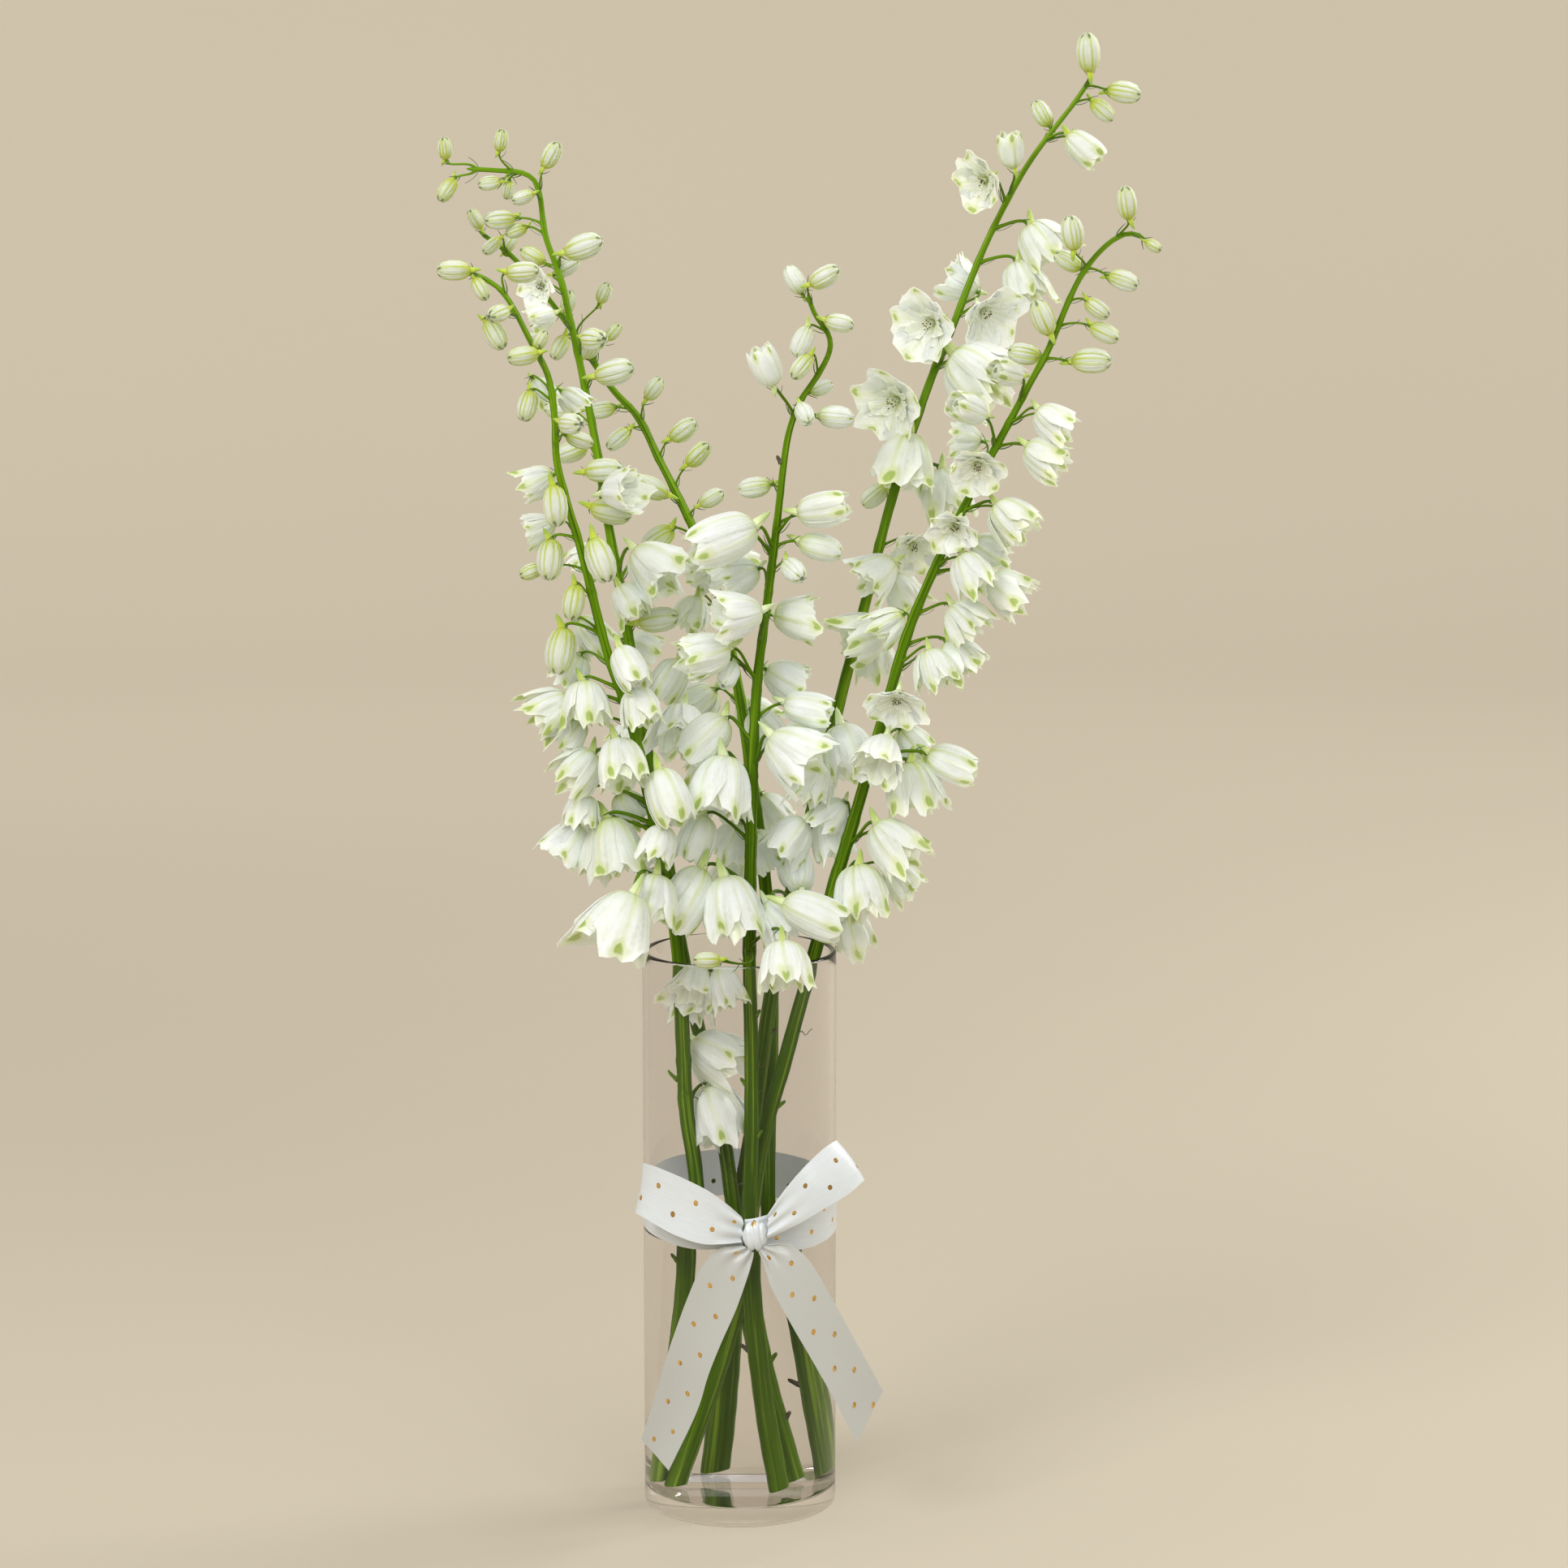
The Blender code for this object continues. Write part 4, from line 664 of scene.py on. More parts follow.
class Shape:
    """Points, faces, face maps, face materials and growth traits gathered for one mesh."""

    def __init__(self):
        self.points, self.faces, self.maps, self.numbers, self.traits = [], [], [], [], []
        self.count = 0

    def add(self, points, faces, maps, number, traits):
        """Adds faces of one kind. maps has (across, along) for each corner, and traits are tone and seed."""
        points = np.asarray(points, float).reshape(-1, 3)
        self.points.append(points)
        self.faces.append(np.asarray(faces) + self.count)
        self.maps.append(np.asarray(maps, float).reshape(-1, 2))
        self.numbers.append(np.full(len(faces), number))
        self.traits.append(np.tile(np.asarray(traits, float), (len(points), 1)))
        self.count += len(points)

    def add_fan(self, ring, sides, centre, order, number, traits, along):
        """Faces from a ring of points that is already here to a new one. They turn by order, 1 or -1."""
        turn = np.arange(sides)
        rim = np.stack((turn, (turn + 1) % sides)[::order], axis=1) + ring
        self.points.append(np.asarray(centre, float).reshape(1, 3))
        self.faces.append(np.column_stack((rim, np.full(sides, self.count))))
        self.maps.append(np.tile((0.5, along), (3 * sides, 1)))
        self.numbers.append(np.full(sides, number))
        self.traits.append(np.asarray(traits, float).reshape(1, 2))
        self.count += 1

    def make(self, name, materials, smooth_angle=50):
        mesh = bpy.data.meshes.new(name)
        faces = [face for group in self.faces for face in group.tolist()]
        mesh.from_pydata((np.concatenate(self.points) * MM).tolist(), [], faces)
        layer = mesh.uv_layers.new(name="Pattern")
        layer.data.foreach_set("uv", np.concatenate(self.maps).ravel())
        mesh.polygons.foreach_set("material_index", np.concatenate(self.numbers))
        traits = np.concatenate(self.traits)
        for column, trait in enumerate(("tone", "seed")):
            attribute = mesh.attributes.new(trait, "FLOAT", "POINT")
            attribute.data.foreach_set("value", np.ascontiguousarray(traits[:, column], np.float32))
        for material in materials:
            mesh.materials.append(material)
        mesh.shade_smooth()
        mesh.set_sharp_from_angle(angle=math.radians(smooth_angle))
        mesh.update()
        made = bpy.data.objects.new(name, mesh)
        bpy.context.scene.collection.objects.link(made)
        return made


def grid_cells(rows, columns, wrap):
    cells = columns if wrap else columns - 1
    row, column = np.meshgrid(np.arange(rows - 1), np.arange(cells), indexing="ij")
    return row.ravel(), column.ravel(), cells


def grid_quads(rows, columns, wrap=False):
    """Faces of a grid of points in rows, its last column joined to the first if it wraps."""
    row, column, _ = grid_cells(rows, columns, wrap)
    after = (column + 1) % columns
    here, above = row * columns, (row + 1) * columns
    return np.stack((here + column, here + after, above + after, above + column), axis=1)


def grid_maps(rows, columns, along, wrap=False):
    """Map places of the same faces' corners: across from 0 to 1, and along as given for each row."""
    row, column, cells = grid_cells(rows, columns, wrap)
    left, right = column / cells, (column + 1) / cells
    low, high = along[row], along[row + 1]
    return np.stack((left, low, right, low, right, high, left, high), axis=1).reshape(-1, 2)


def surface_normals(surface):
    normal = np.cross(np.gradient(surface, axis=1), np.gradient(surface, axis=0))
    return normal / np.maximum(np.linalg.norm(normal, axis=2, keepdims=True), 1e-9)


def add_shell(shape, surface, thickness, along, number, traits):
    """A thin closed shell: a grid of points, the same grid set in by a thickness, and the rim between."""
    rows, columns = surface.shape[:2]
    size = rows * columns
    inner = surface - surface_normals(surface) * thickness
    quads = grid_quads(rows, columns)
    maps = grid_maps(rows, columns, along)
    edge = np.concatenate((np.arange(columns), np.arange(2, rows) * columns - 1,
                           np.arange(size - 1, size - columns - 1, -1), np.arange(rows - 2, 0, -1) * columns))
    after = np.roll(edge, -1)
    rim = np.stack((after, edge, edge + size, after + size), axis=1)
    places = np.stack(np.broadcast_arrays(np.linspace(0, 1, columns)[None], along[:, None]), axis=2)
    rim_maps = places.reshape(-1, 2)[np.stack((after, edge, edge, after), axis=1)]
    flipped = maps.reshape(-1, 4, 2)[:, ::-1]
    shape.add(np.concatenate((surface.reshape(-1, 3), inner.reshape(-1, 3))),
              np.concatenate((quads, quads[:, ::-1] + size, rim)),
              np.concatenate((maps, flipped.reshape(-1, 2), rim_maps.reshape(-1, 2))), number, traits)


def across_directions(line):
    """Two directions across a line at each of its points, turned as little as can be from one to the next."""
    tangent = np.gradient(line, axis=0)
    tangent /= np.maximum(np.linalg.norm(tangent, axis=1, keepdims=True), 1e-9)
    hint = np.array((0.0, 0.0, 1.0)) if abs(tangent[0][2]) < 0.8 else np.array((0.0, -1.0, 0.0))
    first = []
    for direction in tangent:
        hint = unit(hint - direction * (hint @ direction))
        first.append(hint)
    first = np.array(first)
    return first, np.cross(tangent, first)


def add_tube(shape, line, radii, sides, number, traits, along=(0.0, 1.0)):
    """A closed tube along a line. Its radii are one for each point, or one for each point and side."""
    line = np.asarray(line, float)
    rows = len(line)
    first, second = across_directions(line)
    turn = np.linspace(0, 2 * math.pi, sides, endpoint=False)
    ring = np.cos(turn)[None, :, None] * first[:, None] + np.sin(turn)[None, :, None] * second[:, None]
    radii = np.asarray(radii, float).reshape(rows, -1, 1)
    surface = line[:, None] + ring * radii
    maps = grid_maps(rows, sides, np.linspace(along[0], along[1], rows), wrap=True)
    start = shape.count
    shape.add(surface, grid_quads(rows, sides, wrap=True), maps, number, traits)
    shape.add_fan(start, sides, line[0], -1, number, traits, along[0])
    shape.add_fan(start + (rows - 1) * sides, sides, line[-1], 1, number, traits, along[1])


def add_ball(shape, centre, axis, length, radius, number, traits):
    parts = np.array((-0.9, 0.0, 0.9))
    line = centre + axis * (parts[:, None] * length / 2)
    add_tube(shape, line, radius * np.sqrt(1 - parts**2), 6, number, traits)


def add_blade(shape, start, direction, lift, length, width, number, traits):
    """A narrow pointed bract that curls towards lift."""
    t = np.linspace(0, 1, 6)[:, None]
    line = start + direction * (length * t) + lift * (length * 0.45 * t**2)
    side = unit(np.cross(direction, lift)) * width / 2
    breadth = np.array((0.7, 1.0, 0.85, 0.6, 0.35, 0.08))[:, None]
    surface = np.stack((line - side * breadth, line + side * breadth), axis=1)
    add_shell(shape, surface, BRACT_THICKNESS, np.linspace(0, 1, 6), number, traits)


class Whorl:
    """One ring of sepals or petals: where it stands and how it opens."""

    def __init__(self, base, axes, length, radius, form, chance):
        self.base, self.axes, self.length, self.radius = base, axes, length, radius
        self.form, self.chance = form, chance
        # Radius and height at even steps along a smooth curve through the profile's points
        self.route = smooth_route(form.profile, 40).T

    def surface(self, turn, layer, rows, columns, opening, width=1.0):
        """One sepal as a grid of points. layer gives how far it stands out over its neighbours."""
        form, chance = self.form, self.chance
        first, second, axis = self.axes
        across = np.linspace(-1, 1, columns)[None]
        along = np.linspace(0, 1, rows)[:, None]
        phases = chance.uniform(0, 2 * math.pi, 4)
        notch = 0.5 + 0.5 * np.sin(9.0 * across + phases[3])
        reach = 1 - form.corner * np.abs(across) ** 2.6 - form.wave * 0.6 * notch
        along = along * reach * chance.uniform(1 - form.wave * 0.8, 1.0)
        places = np.linspace(0, 1, self.route.shape[1])
        out = np.interp(along, places, self.route[0]) * self.radius
        height = np.interp(along, places, self.route[1]) * self.length
        narrowing = np.clip((along - 0.55) / 0.45, 0, 1)
        half_turn = math.radians(form.half_turn) * width * (1 - form.taper * narrowing**2)
        angle = turn + across * half_turn
        ripple = 0.6 * np.sin(4.2 * across + phases[0]) + 0.5 * np.sin(8.3 * across + phases[1])
        swell = np.sin(math.pi * np.clip(along, 0, 1) ** 0.8)
        out = out * (1 + LAYER_STEP * layer(across) + BULGE * (0.7 - across**2) * swell)
        out = out * (1 + PLEAT * np.cos(7.0 * across + 0.4 * phases[1]) * swell)
        creases = np.sin(5.2 * across + 6.5 * along + phases[2])
        creases = creases + 0.6 * np.sin(7.6 * across - 7.0 * along + phases[0])
        out = out * (1 + CRUMPLE * form.wave * creases * np.clip(along, 0, 1) ** 1.4)
        out = out + self.radius * (form.wave * ripple * along**3 + opening * along**2)
        height = height + self.length * form.wave * 0.7 * along**3 * np.sin(3.1 * across + phases[2])
        return (self.base + axis * height[..., None]
                + (first * np.cos(angle)[..., None] + second * np.sin(angle)[..., None]) * out[..., None])


def over(across):
    return 1 + 0 * across


def under(across):
    return -1 + 0 * across


def over_and_under(across):
    return -across


LAYERS = (over, under, over, under, over_and_under)


def add_sepals(shape, whorl, turn, traits, rows=12, columns=11, number=PETAL):
    """Five overlapping sepals: two outer, two inner, and one over the one neighbour and under the other."""
    for place, layer in enumerate(LAYERS):
        drift = whorl.chance.normal(0, math.radians(2.5))
        opening = float(np.clip(whorl.chance.normal(0.02, whorl.form.wave), -0.14, 0.2))
        surface = whorl.surface(turn + place * 2 * math.pi / 5 + drift, layer, rows, columns, opening,
                                whorl.chance.uniform(0.96, 1.04))
        add_shell(shape, surface, SEPAL_THICKNESS, np.linspace(0, 1, rows), number, traits)


def add_spur(shape, bloom_base, axis, dorsal, length, traits, chance):
    """The hollow spur that the upper sepal carries at the back of the flower."""
    tilt = math.radians(chance.uniform(14, 32))
    direction = unit(-axis * math.cos(tilt) + dorsal * math.sin(tilt))
    bend = unit(np.cross(direction, np.cross(dorsal, direction))) * chance.uniform(-0.16, 0.1)
    t = np.linspace(0, 1, 8)[:, None]
    line = bloom_base + axis * length * 0.3 + direction * length * 1.2 * t + bend * length * t**2
    part = t[:, 0]
    radii = length * (0.22 * (1 - part) ** 0.9 + 0.085) * np.sqrt(np.clip(1 - part**9, 0.05, 1))
    add_tube(shape, line, radii, 7, PETAL, traits, along=(0.22, 0.0))


# Points along a stalk, and those that carry a small bract, with the side that it stands on
STALK_ROWS = 12
BRACT_PLACES = ((8, 1), (9, -1))


def add_stalk(shape, bunch, number, chance):
    """The curved stalk with its bracts. Returns the direction in which it leaves the flower's base."""
    bloom = bunch.blooms[number]
    away, direction = bunch.roots()[1][number], bunch.line_direction[number]
    root = bunch.line_point[number] + away * (bunch.line_radius[number] - 0.4)
    leaving = away * STALK_OUTWARD + direction * STALK_UPWARD
    base, axis = bunch.base[number], bunch.axis[number]
    parts = np.linspace(0, 1, STALK_ROWS)
    line = stalk_points(root, leaving, base, axis, bunch.bend[number], parts)
    thin = float(np.clip(bloom.length * 0.032, 0.55, 0.92))
    radii = np.interp(parts, (0, 0.08, 0.3, 0.85, 0.95, 1), (1.75, 1.3, 1.05, 1.0, 1.45, 1.9)) * thin
    traits = (bloom.stem.tone[bloom.root], chance.uniform())
    add_tube(shape, line, radii, 6, STALK, traits)
    behind = line[-4] - base
    dorsal = -(behind - axis * (behind @ axis))
    if np.linalg.norm(dorsal) < 0.05:
        dorsal = np.array((0.0, 0.0, 1.0)) - axis * axis[2]
    dorsal = unit(dorsal)
    for part, hand in BRACT_PLACES:
        lean = chance.uniform(-1, 1)
        side = unit(np.cross(line[part + 1] - line[part - 1], dorsal)) * hand
        outward = unit(side + dorsal * lean * 0.8)
        onward = unit(line[part + 1] - line[part])
        add_blade(shape, line[part] + outward * thin * 0.8, unit(outward * 0.8 + onward * 0.5), onward,
                  chance.uniform(2.6, 4.6), 0.6, BRACT, traits)
    add_blade(shape, root - direction * 1.5 + away * 0.2, unit(away + direction * 0.4),
              unit(direction - away * 0.4), chance.uniform(5.0, 10.0), 0.9, BRACT, traits)
    return dorsal


# The small petals in a flower's mouth, and the second ring of a double one
INNER_FORM = Form(((0.2, 0), (0.34, 0.2), (0.5, 0.5), (0.62, 0.8), (0.8, 1.0)), 30, 0.1, 0.3, 0.2, 0.3)
DOUBLE_FORM = Form(((0.12, 0.05), (0.24, 0.26), (0.42, 0.46), (0.66, 0.66), (0.86, 0.86), (0.98, 1.0)),
                   36, 0.1, 0.25, 0.16, 0.1)
# The ring inside each kind's sepals: where it starts, its length and its radius as parts of the flower's, its
# form, and the rows and columns of its mesh
Ring = namedtuple("Ring", "start length radius form rows columns")
RINGS = {
    HALF: Ring(0.05, 0.9, 0.92, FORMS[BUD], 7, 5),
    BELL: Ring(0.1, 0.84, 0.82, FORMS[BELL], 7, 7),
    CUP: Ring(0.1, 0.84, 0.82, FORMS[CUP], 7, 7),
    FACE: Ring(0.16, 0.46, 0.84, DOUBLE_FORM, 9, 9),
}
# Turns of the small petals in a wide flower and in others, and the step in turn from one stamen to the next
WIDE_TURNS = (0.35, 5.93, 2.5, 3.8)
NARROW_TURNS = (0.4, 5.9)
STAMEN_TURN = 2.4


def add_middle(shape, bloom, base, axes, chance, traits):
    """The small inner petals and the stamens that show in the flower's mouth."""
    axis = axes[2]
    length, radius = bloom.length, bloom.radius
    wide = bloom.kind in (CUP, FACE)
    throat = base + axis * length * (0.2 if bloom.kind is FACE else 0.16)
    petal_length = length * (0.3 if bloom.kind is FACE else 0.46)
    petals = Whorl(throat, axes, petal_length, radius * 0.62, INNER_FORM, chance)
    for turn in WIDE_TURNS if wide else NARROW_TURNS:
        surface = petals.surface(turn, over, 7, 5, chance.normal(0, 0.08))
        add_shell(shape, surface, INNER_THICKNESS, np.linspace(0, 1, 7), INNER, traits)
    count = 11 if bloom.kind is FACE else 8 if wide else 5
    for number in range(count):
        turn, out = number * STAMEN_TURN, radius * (0.04 + 0.13 * math.sqrt(number / count))
        aside = axes[0] * math.cos(turn) + axes[1] * math.sin(turn)
        top = throat + axis * length * chance.uniform(0.16, 0.34) + aside * out
        if wide:
            line = np.linspace(throat + aside * out * 0.4, top, 4)
            add_tube(shape, line, np.full(4, 0.14), 4, INNER, traits)
        add_ball(shape, top, unit(axis + aside * 0.7), chance.uniform(0.9, 1.4), 0.4, ANTHER, traits)


def add_flower(shape, number, chance):
    """A whole flower: its stalk and bracts, sepals, spur, inner petals and stamens."""
    bunch = GROWTH.bunch
    bloom = bunch.blooms[number]
    form = FORMS[bloom.kind]
    small = np.clip((46 - bloom.row.length) / 20, 0, 1)
    green = form.green + (0.25 * small if bloom.kind is BUD else 0.1 * small)
    if bunch.inside[number]:
        green *= 0.5
    traits = (float(np.clip(green + chance.normal(0, 0.06), 0, 1)), chance.uniform())
    dorsal = add_stalk(shape, bunch, number, chance)
    base, axis = bunch.base[number], bunch.axis[number]
    axes = (dorsal, np.cross(axis, dorsal), axis)
    turn = chance.uniform(-0.25, 0.25)
    if bloom.kind is BUD:
        whorl = Whorl(base, axes, bloom.length, bloom.radius, form, chance)
        add_sepals(shape, whorl, turn, traits, rows=8, columns=7)
        add_spur(shape, base, axis, dorsal, bloom.length * 0.36, traits, chance)
        return
    whorl = Whorl(base, axes, bloom.length * FULLNESS, bloom.radius * chance.uniform(1.0, 1.14), form, chance)
    add_sepals(shape, whorl, turn, traits)
    add_spur(shape, base, axis, dorsal, bloom.length * 0.34, traits, chance)
    ring = RINGS[bloom.kind]
    inner = Whorl(base + axis * bloom.length * ring.start, axes, bloom.length * ring.length,
                  bloom.radius * ring.radius, ring.form, chance)
    add_sepals(shape, inner, turn + math.pi / 5, traits, ring.rows, ring.columns, INNER)
    if bloom.kind is not HALF:
        add_middle(shape, bloom, base, axes, chance, traits)


class Tree:
    """Short calls that add nodes to the tree of a material or a node group."""

    def __init__(self, tree):
        self.tree = tree

    def set(self, node, inputs):
        for key, value in inputs.items():
            if isinstance(value, bpy.types.NodeSocket):
                self.tree.links.new(value, node.inputs[key])
            else:
                node.inputs[key].default_value = value

    def node(self, kind, inputs=None, **settings):
        made = self.tree.nodes.new(kind)
        for name, value in settings.items():
            setattr(made, name, value)
        self.set(made, inputs or {})
        return made

    def math(self, operation, first, second=0.0, third=0.0, clamp=False):
        inputs = {0: first, 1: second, 2: third}
        return self.node("ShaderNodeMath", inputs, operation=operation, use_clamp=clamp).outputs[0]

    def mix(self, factor, first, second):
        """A mix of two colours."""
        return self.node("ShaderNodeMix", {0: factor, 6: first, 7: second}, data_type="RGBA").outputs[2]

    def ease(self, value, low, high, to_low=0.0, to_high=1.0):
        """A smooth step of a value from low to high."""
        made = self.node("ShaderNodeMapRange", {0: value, 1: low, 2: high, 3: to_low, 4: to_high},
                         interpolation_type="SMOOTHSTEP")
        return made.outputs[0]

    def noise(self, vector, scale, detail, roughness=0.5):
        inputs = {"Vector": vector, "Scale": scale, "Detail": detail, "Roughness": roughness}
        return self.node("ShaderNodeTexNoise", inputs).outputs["Fac"]

    def group(self, tree, inputs):
        made = self.node("ShaderNodeGroup", node_tree=tree)
        self.set(made, inputs)
        return made.outputs

    def pattern(self):
        """The across and along of a mesh's own map."""
        place = self.node("ShaderNodeUVMap", uv_map="Pattern").outputs[0]
        parts = self.node("ShaderNodeSeparateXYZ", {0: place}).outputs
        return parts[0], parts[1]

    def trait(self, name):
        return self.node("ShaderNodeAttribute", attribute_name=name).outputs["Fac"]

    def object_place(self):
        return self.node("ShaderNodeTexCoord").outputs["Object"]


def new_group(name, inputs, outputs):
    """An empty node group with named number or colour sockets."""
    tree = bpy.data.node_groups.new(name, "ShaderNodeTree")
    for label, kind, value in inputs:
        socket = tree.interface.new_socket(label, in_out="INPUT", socket_type=kind)
        if value is not None:
            socket.default_value = value
    for label, kind in outputs:
        tree.interface.new_socket(label, in_out="OUTPUT", socket_type=kind)
    nodes = Tree(tree)
    return nodes, nodes.node("NodeGroupInput").outputs, nodes.node("NodeGroupOutput")


def mottle_group():
    """Soft patches and fine grain, as one value about a half."""
    nodes, given, result = new_group(
        "Mottle", (("Size", "NodeSocketFloat", 8.0), ("Grain", "NodeSocketFloat", 0.3)),
        (("Value", "NodeSocketFloat"),))
    place = nodes.object_place()
    patch_scale = nodes.math("DIVIDE", 1000.0, given["Size"])
    patches = nodes.noise(place, patch_scale, 2.0)
    grain = nodes.noise(place, nodes.math("MULTIPLY", patch_scale, 7.0), 3.0, 0.6)
    mixed = nodes.node("ShaderNodeMix", {0: given["Grain"], 2: patches, 3: grain}, data_type="FLOAT")
    nodes.set(result, {"Value": mixed.outputs[0]})
    return nodes.tree


def streaks_group():
    """Fine lines along a grown part, from its across and along."""
    nodes, given, result = new_group(
        "Streaks",
        (("Across", "NodeSocketFloat", 0.0), ("Along", "NodeSocketFloat", 0.0),
         ("Count", "NodeSocketFloat", 12.0), ("Stretch", "NodeSocketFloat", 1.5),
         ("Seed", "NodeSocketFloat", 0.0)),
        (("Value", "NodeSocketFloat"),))
    wide = nodes.math("MULTIPLY", given["Across"], given["Count"])
    long = nodes.math("MULTIPLY", given["Along"], given["Stretch"])
    apart = nodes.math("MULTIPLY", given["Seed"], 37.0)
    place = nodes.node("ShaderNodeCombineXYZ", {0: wide, 1: long, 2: apart})
    nodes.set(result, {"Value": nodes.noise(place.outputs[0], 1.0, 3.0, 0.6)})
    return nodes.tree


# Colours that vary a finish, beside those that a user would change
SHADED_WHITE = (0.72, 0.77, 0.62, 1)
THROAT_GREEN = (0.2, 0.34, 0.06, 1)
ANTHER_DARK = (0.02, 0.015, 0.01, 1)
ANTHER_LIGHT = (0.22, 0.15, 0.04, 1)
# Pale green of the stems' and stalks' streaks: partly their real light ridges, partly painted highlights
SKIN_STREAK_AND_HIGHLIGHT = (0.34, 0.55, 0.03, 1)
SKIN_SPECK = (0.24, 0.36, 0.03, 1)
BRACT_GREEN = (0.07, 0.16, 0.03, 1)
BRACT_BROWN = (0.06, 0.045, 0.02, 1)
PITH = (0.42, 0.48, 0.24, 1)
PITH_DULL = (0.24, 0.24, 0.1, 1)
CUT_RING = (0.12, 0.22, 0.05, 1)
SATIN_COOL = (0.63, 0.68, 0.72, 1)
SELVEDGE = (0.66, 0.67, 0.66, 1)
GOLD_DEEP = (0.5, 0.27, 0.07, 1)
# What the lamps' rays keep on their way through glass or water, and how bright its highlights are
CLEAR_FILM = (0.985, 0.985, 0.98, 1)
CLEAR_SHINE = (0.25, 0.25, 0.25, 1)


class Finishes:
    """Every material, made once from the add-on's colours and sizes."""

    def __init__(self, colours, sizes):
        self.colours, self.sizes = colours, sizes
        self.mottle = mottle_group()
        self.streaks = streaks_group()
        self.petal = self.make_petal("petal", colours.petal_white, marked=0.85, glow=0.06)
        self.inner = self.make_petal("inner_petal", colours.inner_petal, marked=0.12, glow=0.1)
        self.anther = self.make_anther()
        self.stalk = self.make_green("stalk", ridge=0.5, stretch=1.0)
        self.bract = self.make_bract()
        self.stem = self.make_green("stem", ridge=1.0, stretch=6.0)
        self.cut = self.make_cut()
        self.satin = self.make_satin()
        self.glass = self.make_clear("vase_glass", colours.glass, bending=1.5)
        self.water = self.make_clear("water", colours.water, bending=1.333)

    def begin(self, name, **values):
        made = bpy.data.materials.new(name)
        made.use_nodes = True
        nodes = Tree(made.node_tree)
        shader = made.node_tree.nodes["Principled BSDF"]
        nodes.set(shader, values)
        return made, nodes, shader

    def make_petal(self, name, white, marked, glow):
        """Sepal or petal: green at its base and ribs, with a spot near its tip.

        marked is how strong the spot is, and glow is the strength of a painted glow: the petal emits its own
        colour, which stands in for the light that comes through it and lightens its shaded side.
        """
        green, spot = self.colours.petal_green, self.colours.petal_spot
        made, nodes, shader = self.begin(name)
        nodes.set(shader, {"Subsurface Weight": 0.5, "Subsurface Radius": (1.0, 1.0, 0.75),
                           "Subsurface Scale": 0.003, "Specular IOR Level": 0.35, "Sheen Weight": 0.12})
        across, along = nodes.pattern()
        age, seed = nodes.trait("tone"), nodes.trait("seed")
        aside = nodes.math("ABSOLUTE", nodes.math("SUBTRACT", nodes.math("MULTIPLY", across, 2.0), 1.0))
        streak = nodes.group(self.streaks, {"Across": across, "Along": along, "Count": 9.0, "Stretch": 1.2,
                                            "Seed": seed})["Value"]
        lines = nodes.ease(streak, 0.5, 0.72)
        base = nodes.ease(along, 0.58, 0.0)
        throat = nodes.ease(along, 0.16, 0.02)
        rib = nodes.ease(aside, 0.22, 0.0)
        rib = nodes.math("MULTIPLY", rib, nodes.ease(along, 1.0, 0.5, 0.35, 1.0))
        veins = nodes.math("MULTIPLY", lines, nodes.math("MULTIPLY_ADD", base, 0.7, 0.3))
        tint = nodes.math("MULTIPLY_ADD", base, 0.75, nodes.math("MULTIPLY", rib, 0.5))
        tint = nodes.math("MULTIPLY_ADD", veins, 0.35, tint)
        # Green along the sepals' side edges, stronger on buds: partly the lime edges that buds have, partly
        # painted shade along the seams where sepals overlap
        edge = nodes.math("MULTIPLY", nodes.ease(aside, 0.72, 1.0), nodes.ease(along, 1.0, 0.6, 0.3, 1.0))
        tint = nodes.math("MULTIPLY_ADD", nodes.math("MULTIPLY", edge, age), 0.7, tint)
        amount = nodes.math("MULTIPLY_ADD", age, 1.0, 0.45)
        flush = nodes.math("MULTIPLY", age, nodes.math("MULTIPLY_ADD", seed, 0.22, 0.2))
        tint = nodes.math("MULTIPLY_ADD", tint, amount, flush, clamp=True)
        patches = nodes.group(self.mottle, {"Size": 9.0, "Grain": 0.25})["Value"]
        shade = nodes.mix(nodes.ease(patches, 0.35, 0.7), white, nodes.mix(0.5, white, SHADED_WHITE))
        colour = nodes.mix(tint, shade, green)
        colour = nodes.mix(nodes.math("MULTIPLY", throat, nodes.math("MULTIPLY_ADD", age, 0.3, 0.45)), colour,
                           THROAT_GREEN)
        from_spot = nodes.math("SUBTRACT", along, 0.9)
        near_tip = nodes.math("DIVIDE", from_spot, nodes.math("MULTIPLY_ADD", age, 0.12, 0.042))
        narrow = nodes.math("DIVIDE", aside, nodes.math("MULTIPLY_ADD", age, 0.4, 0.085))
        ring = nodes.math("MULTIPLY_ADD", near_tip, near_tip, nodes.math("MULTIPLY", narrow, narrow))
        ring = nodes.math("MULTIPLY_ADD", nodes.math("SUBTRACT", streak, 0.5), 1.6, ring)
        mark = nodes.ease(ring, 1.1, 0.25)
        halo = nodes.ease(ring, 5.0, 0.8, 0.0, 0.55 * marked)
        dark = nodes.mix(nodes.ease(age, 0.35, 0.75), spot, self.colours.bud_tip)
        colour = nodes.mix(halo, colour, green)
        colour = nodes.mix(nodes.math("MULTIPLY", mark, marked), colour, dark)
        # Emission of the petal's own colour at strength glow is a painted glow. It stands in for light coming
        # through the petal and lightens its shaded side.
        nodes.set(shader, {"Base Color": colour, "Emission Color": colour, "Emission Strength": glow,
                           "Roughness": nodes.ease(patches, 0.3, 0.75, 0.42, 0.6)})
        height = nodes.math("MULTIPLY_ADD", streak, 1.2, nodes.math("MULTIPLY", patches, 0.6))
        bump = nodes.node("ShaderNodeBump", {"Strength": 0.6, "Distance": 0.001, "Height": height})
        nodes.set(shader, {"Normal": bump.outputs[0]})
        return made

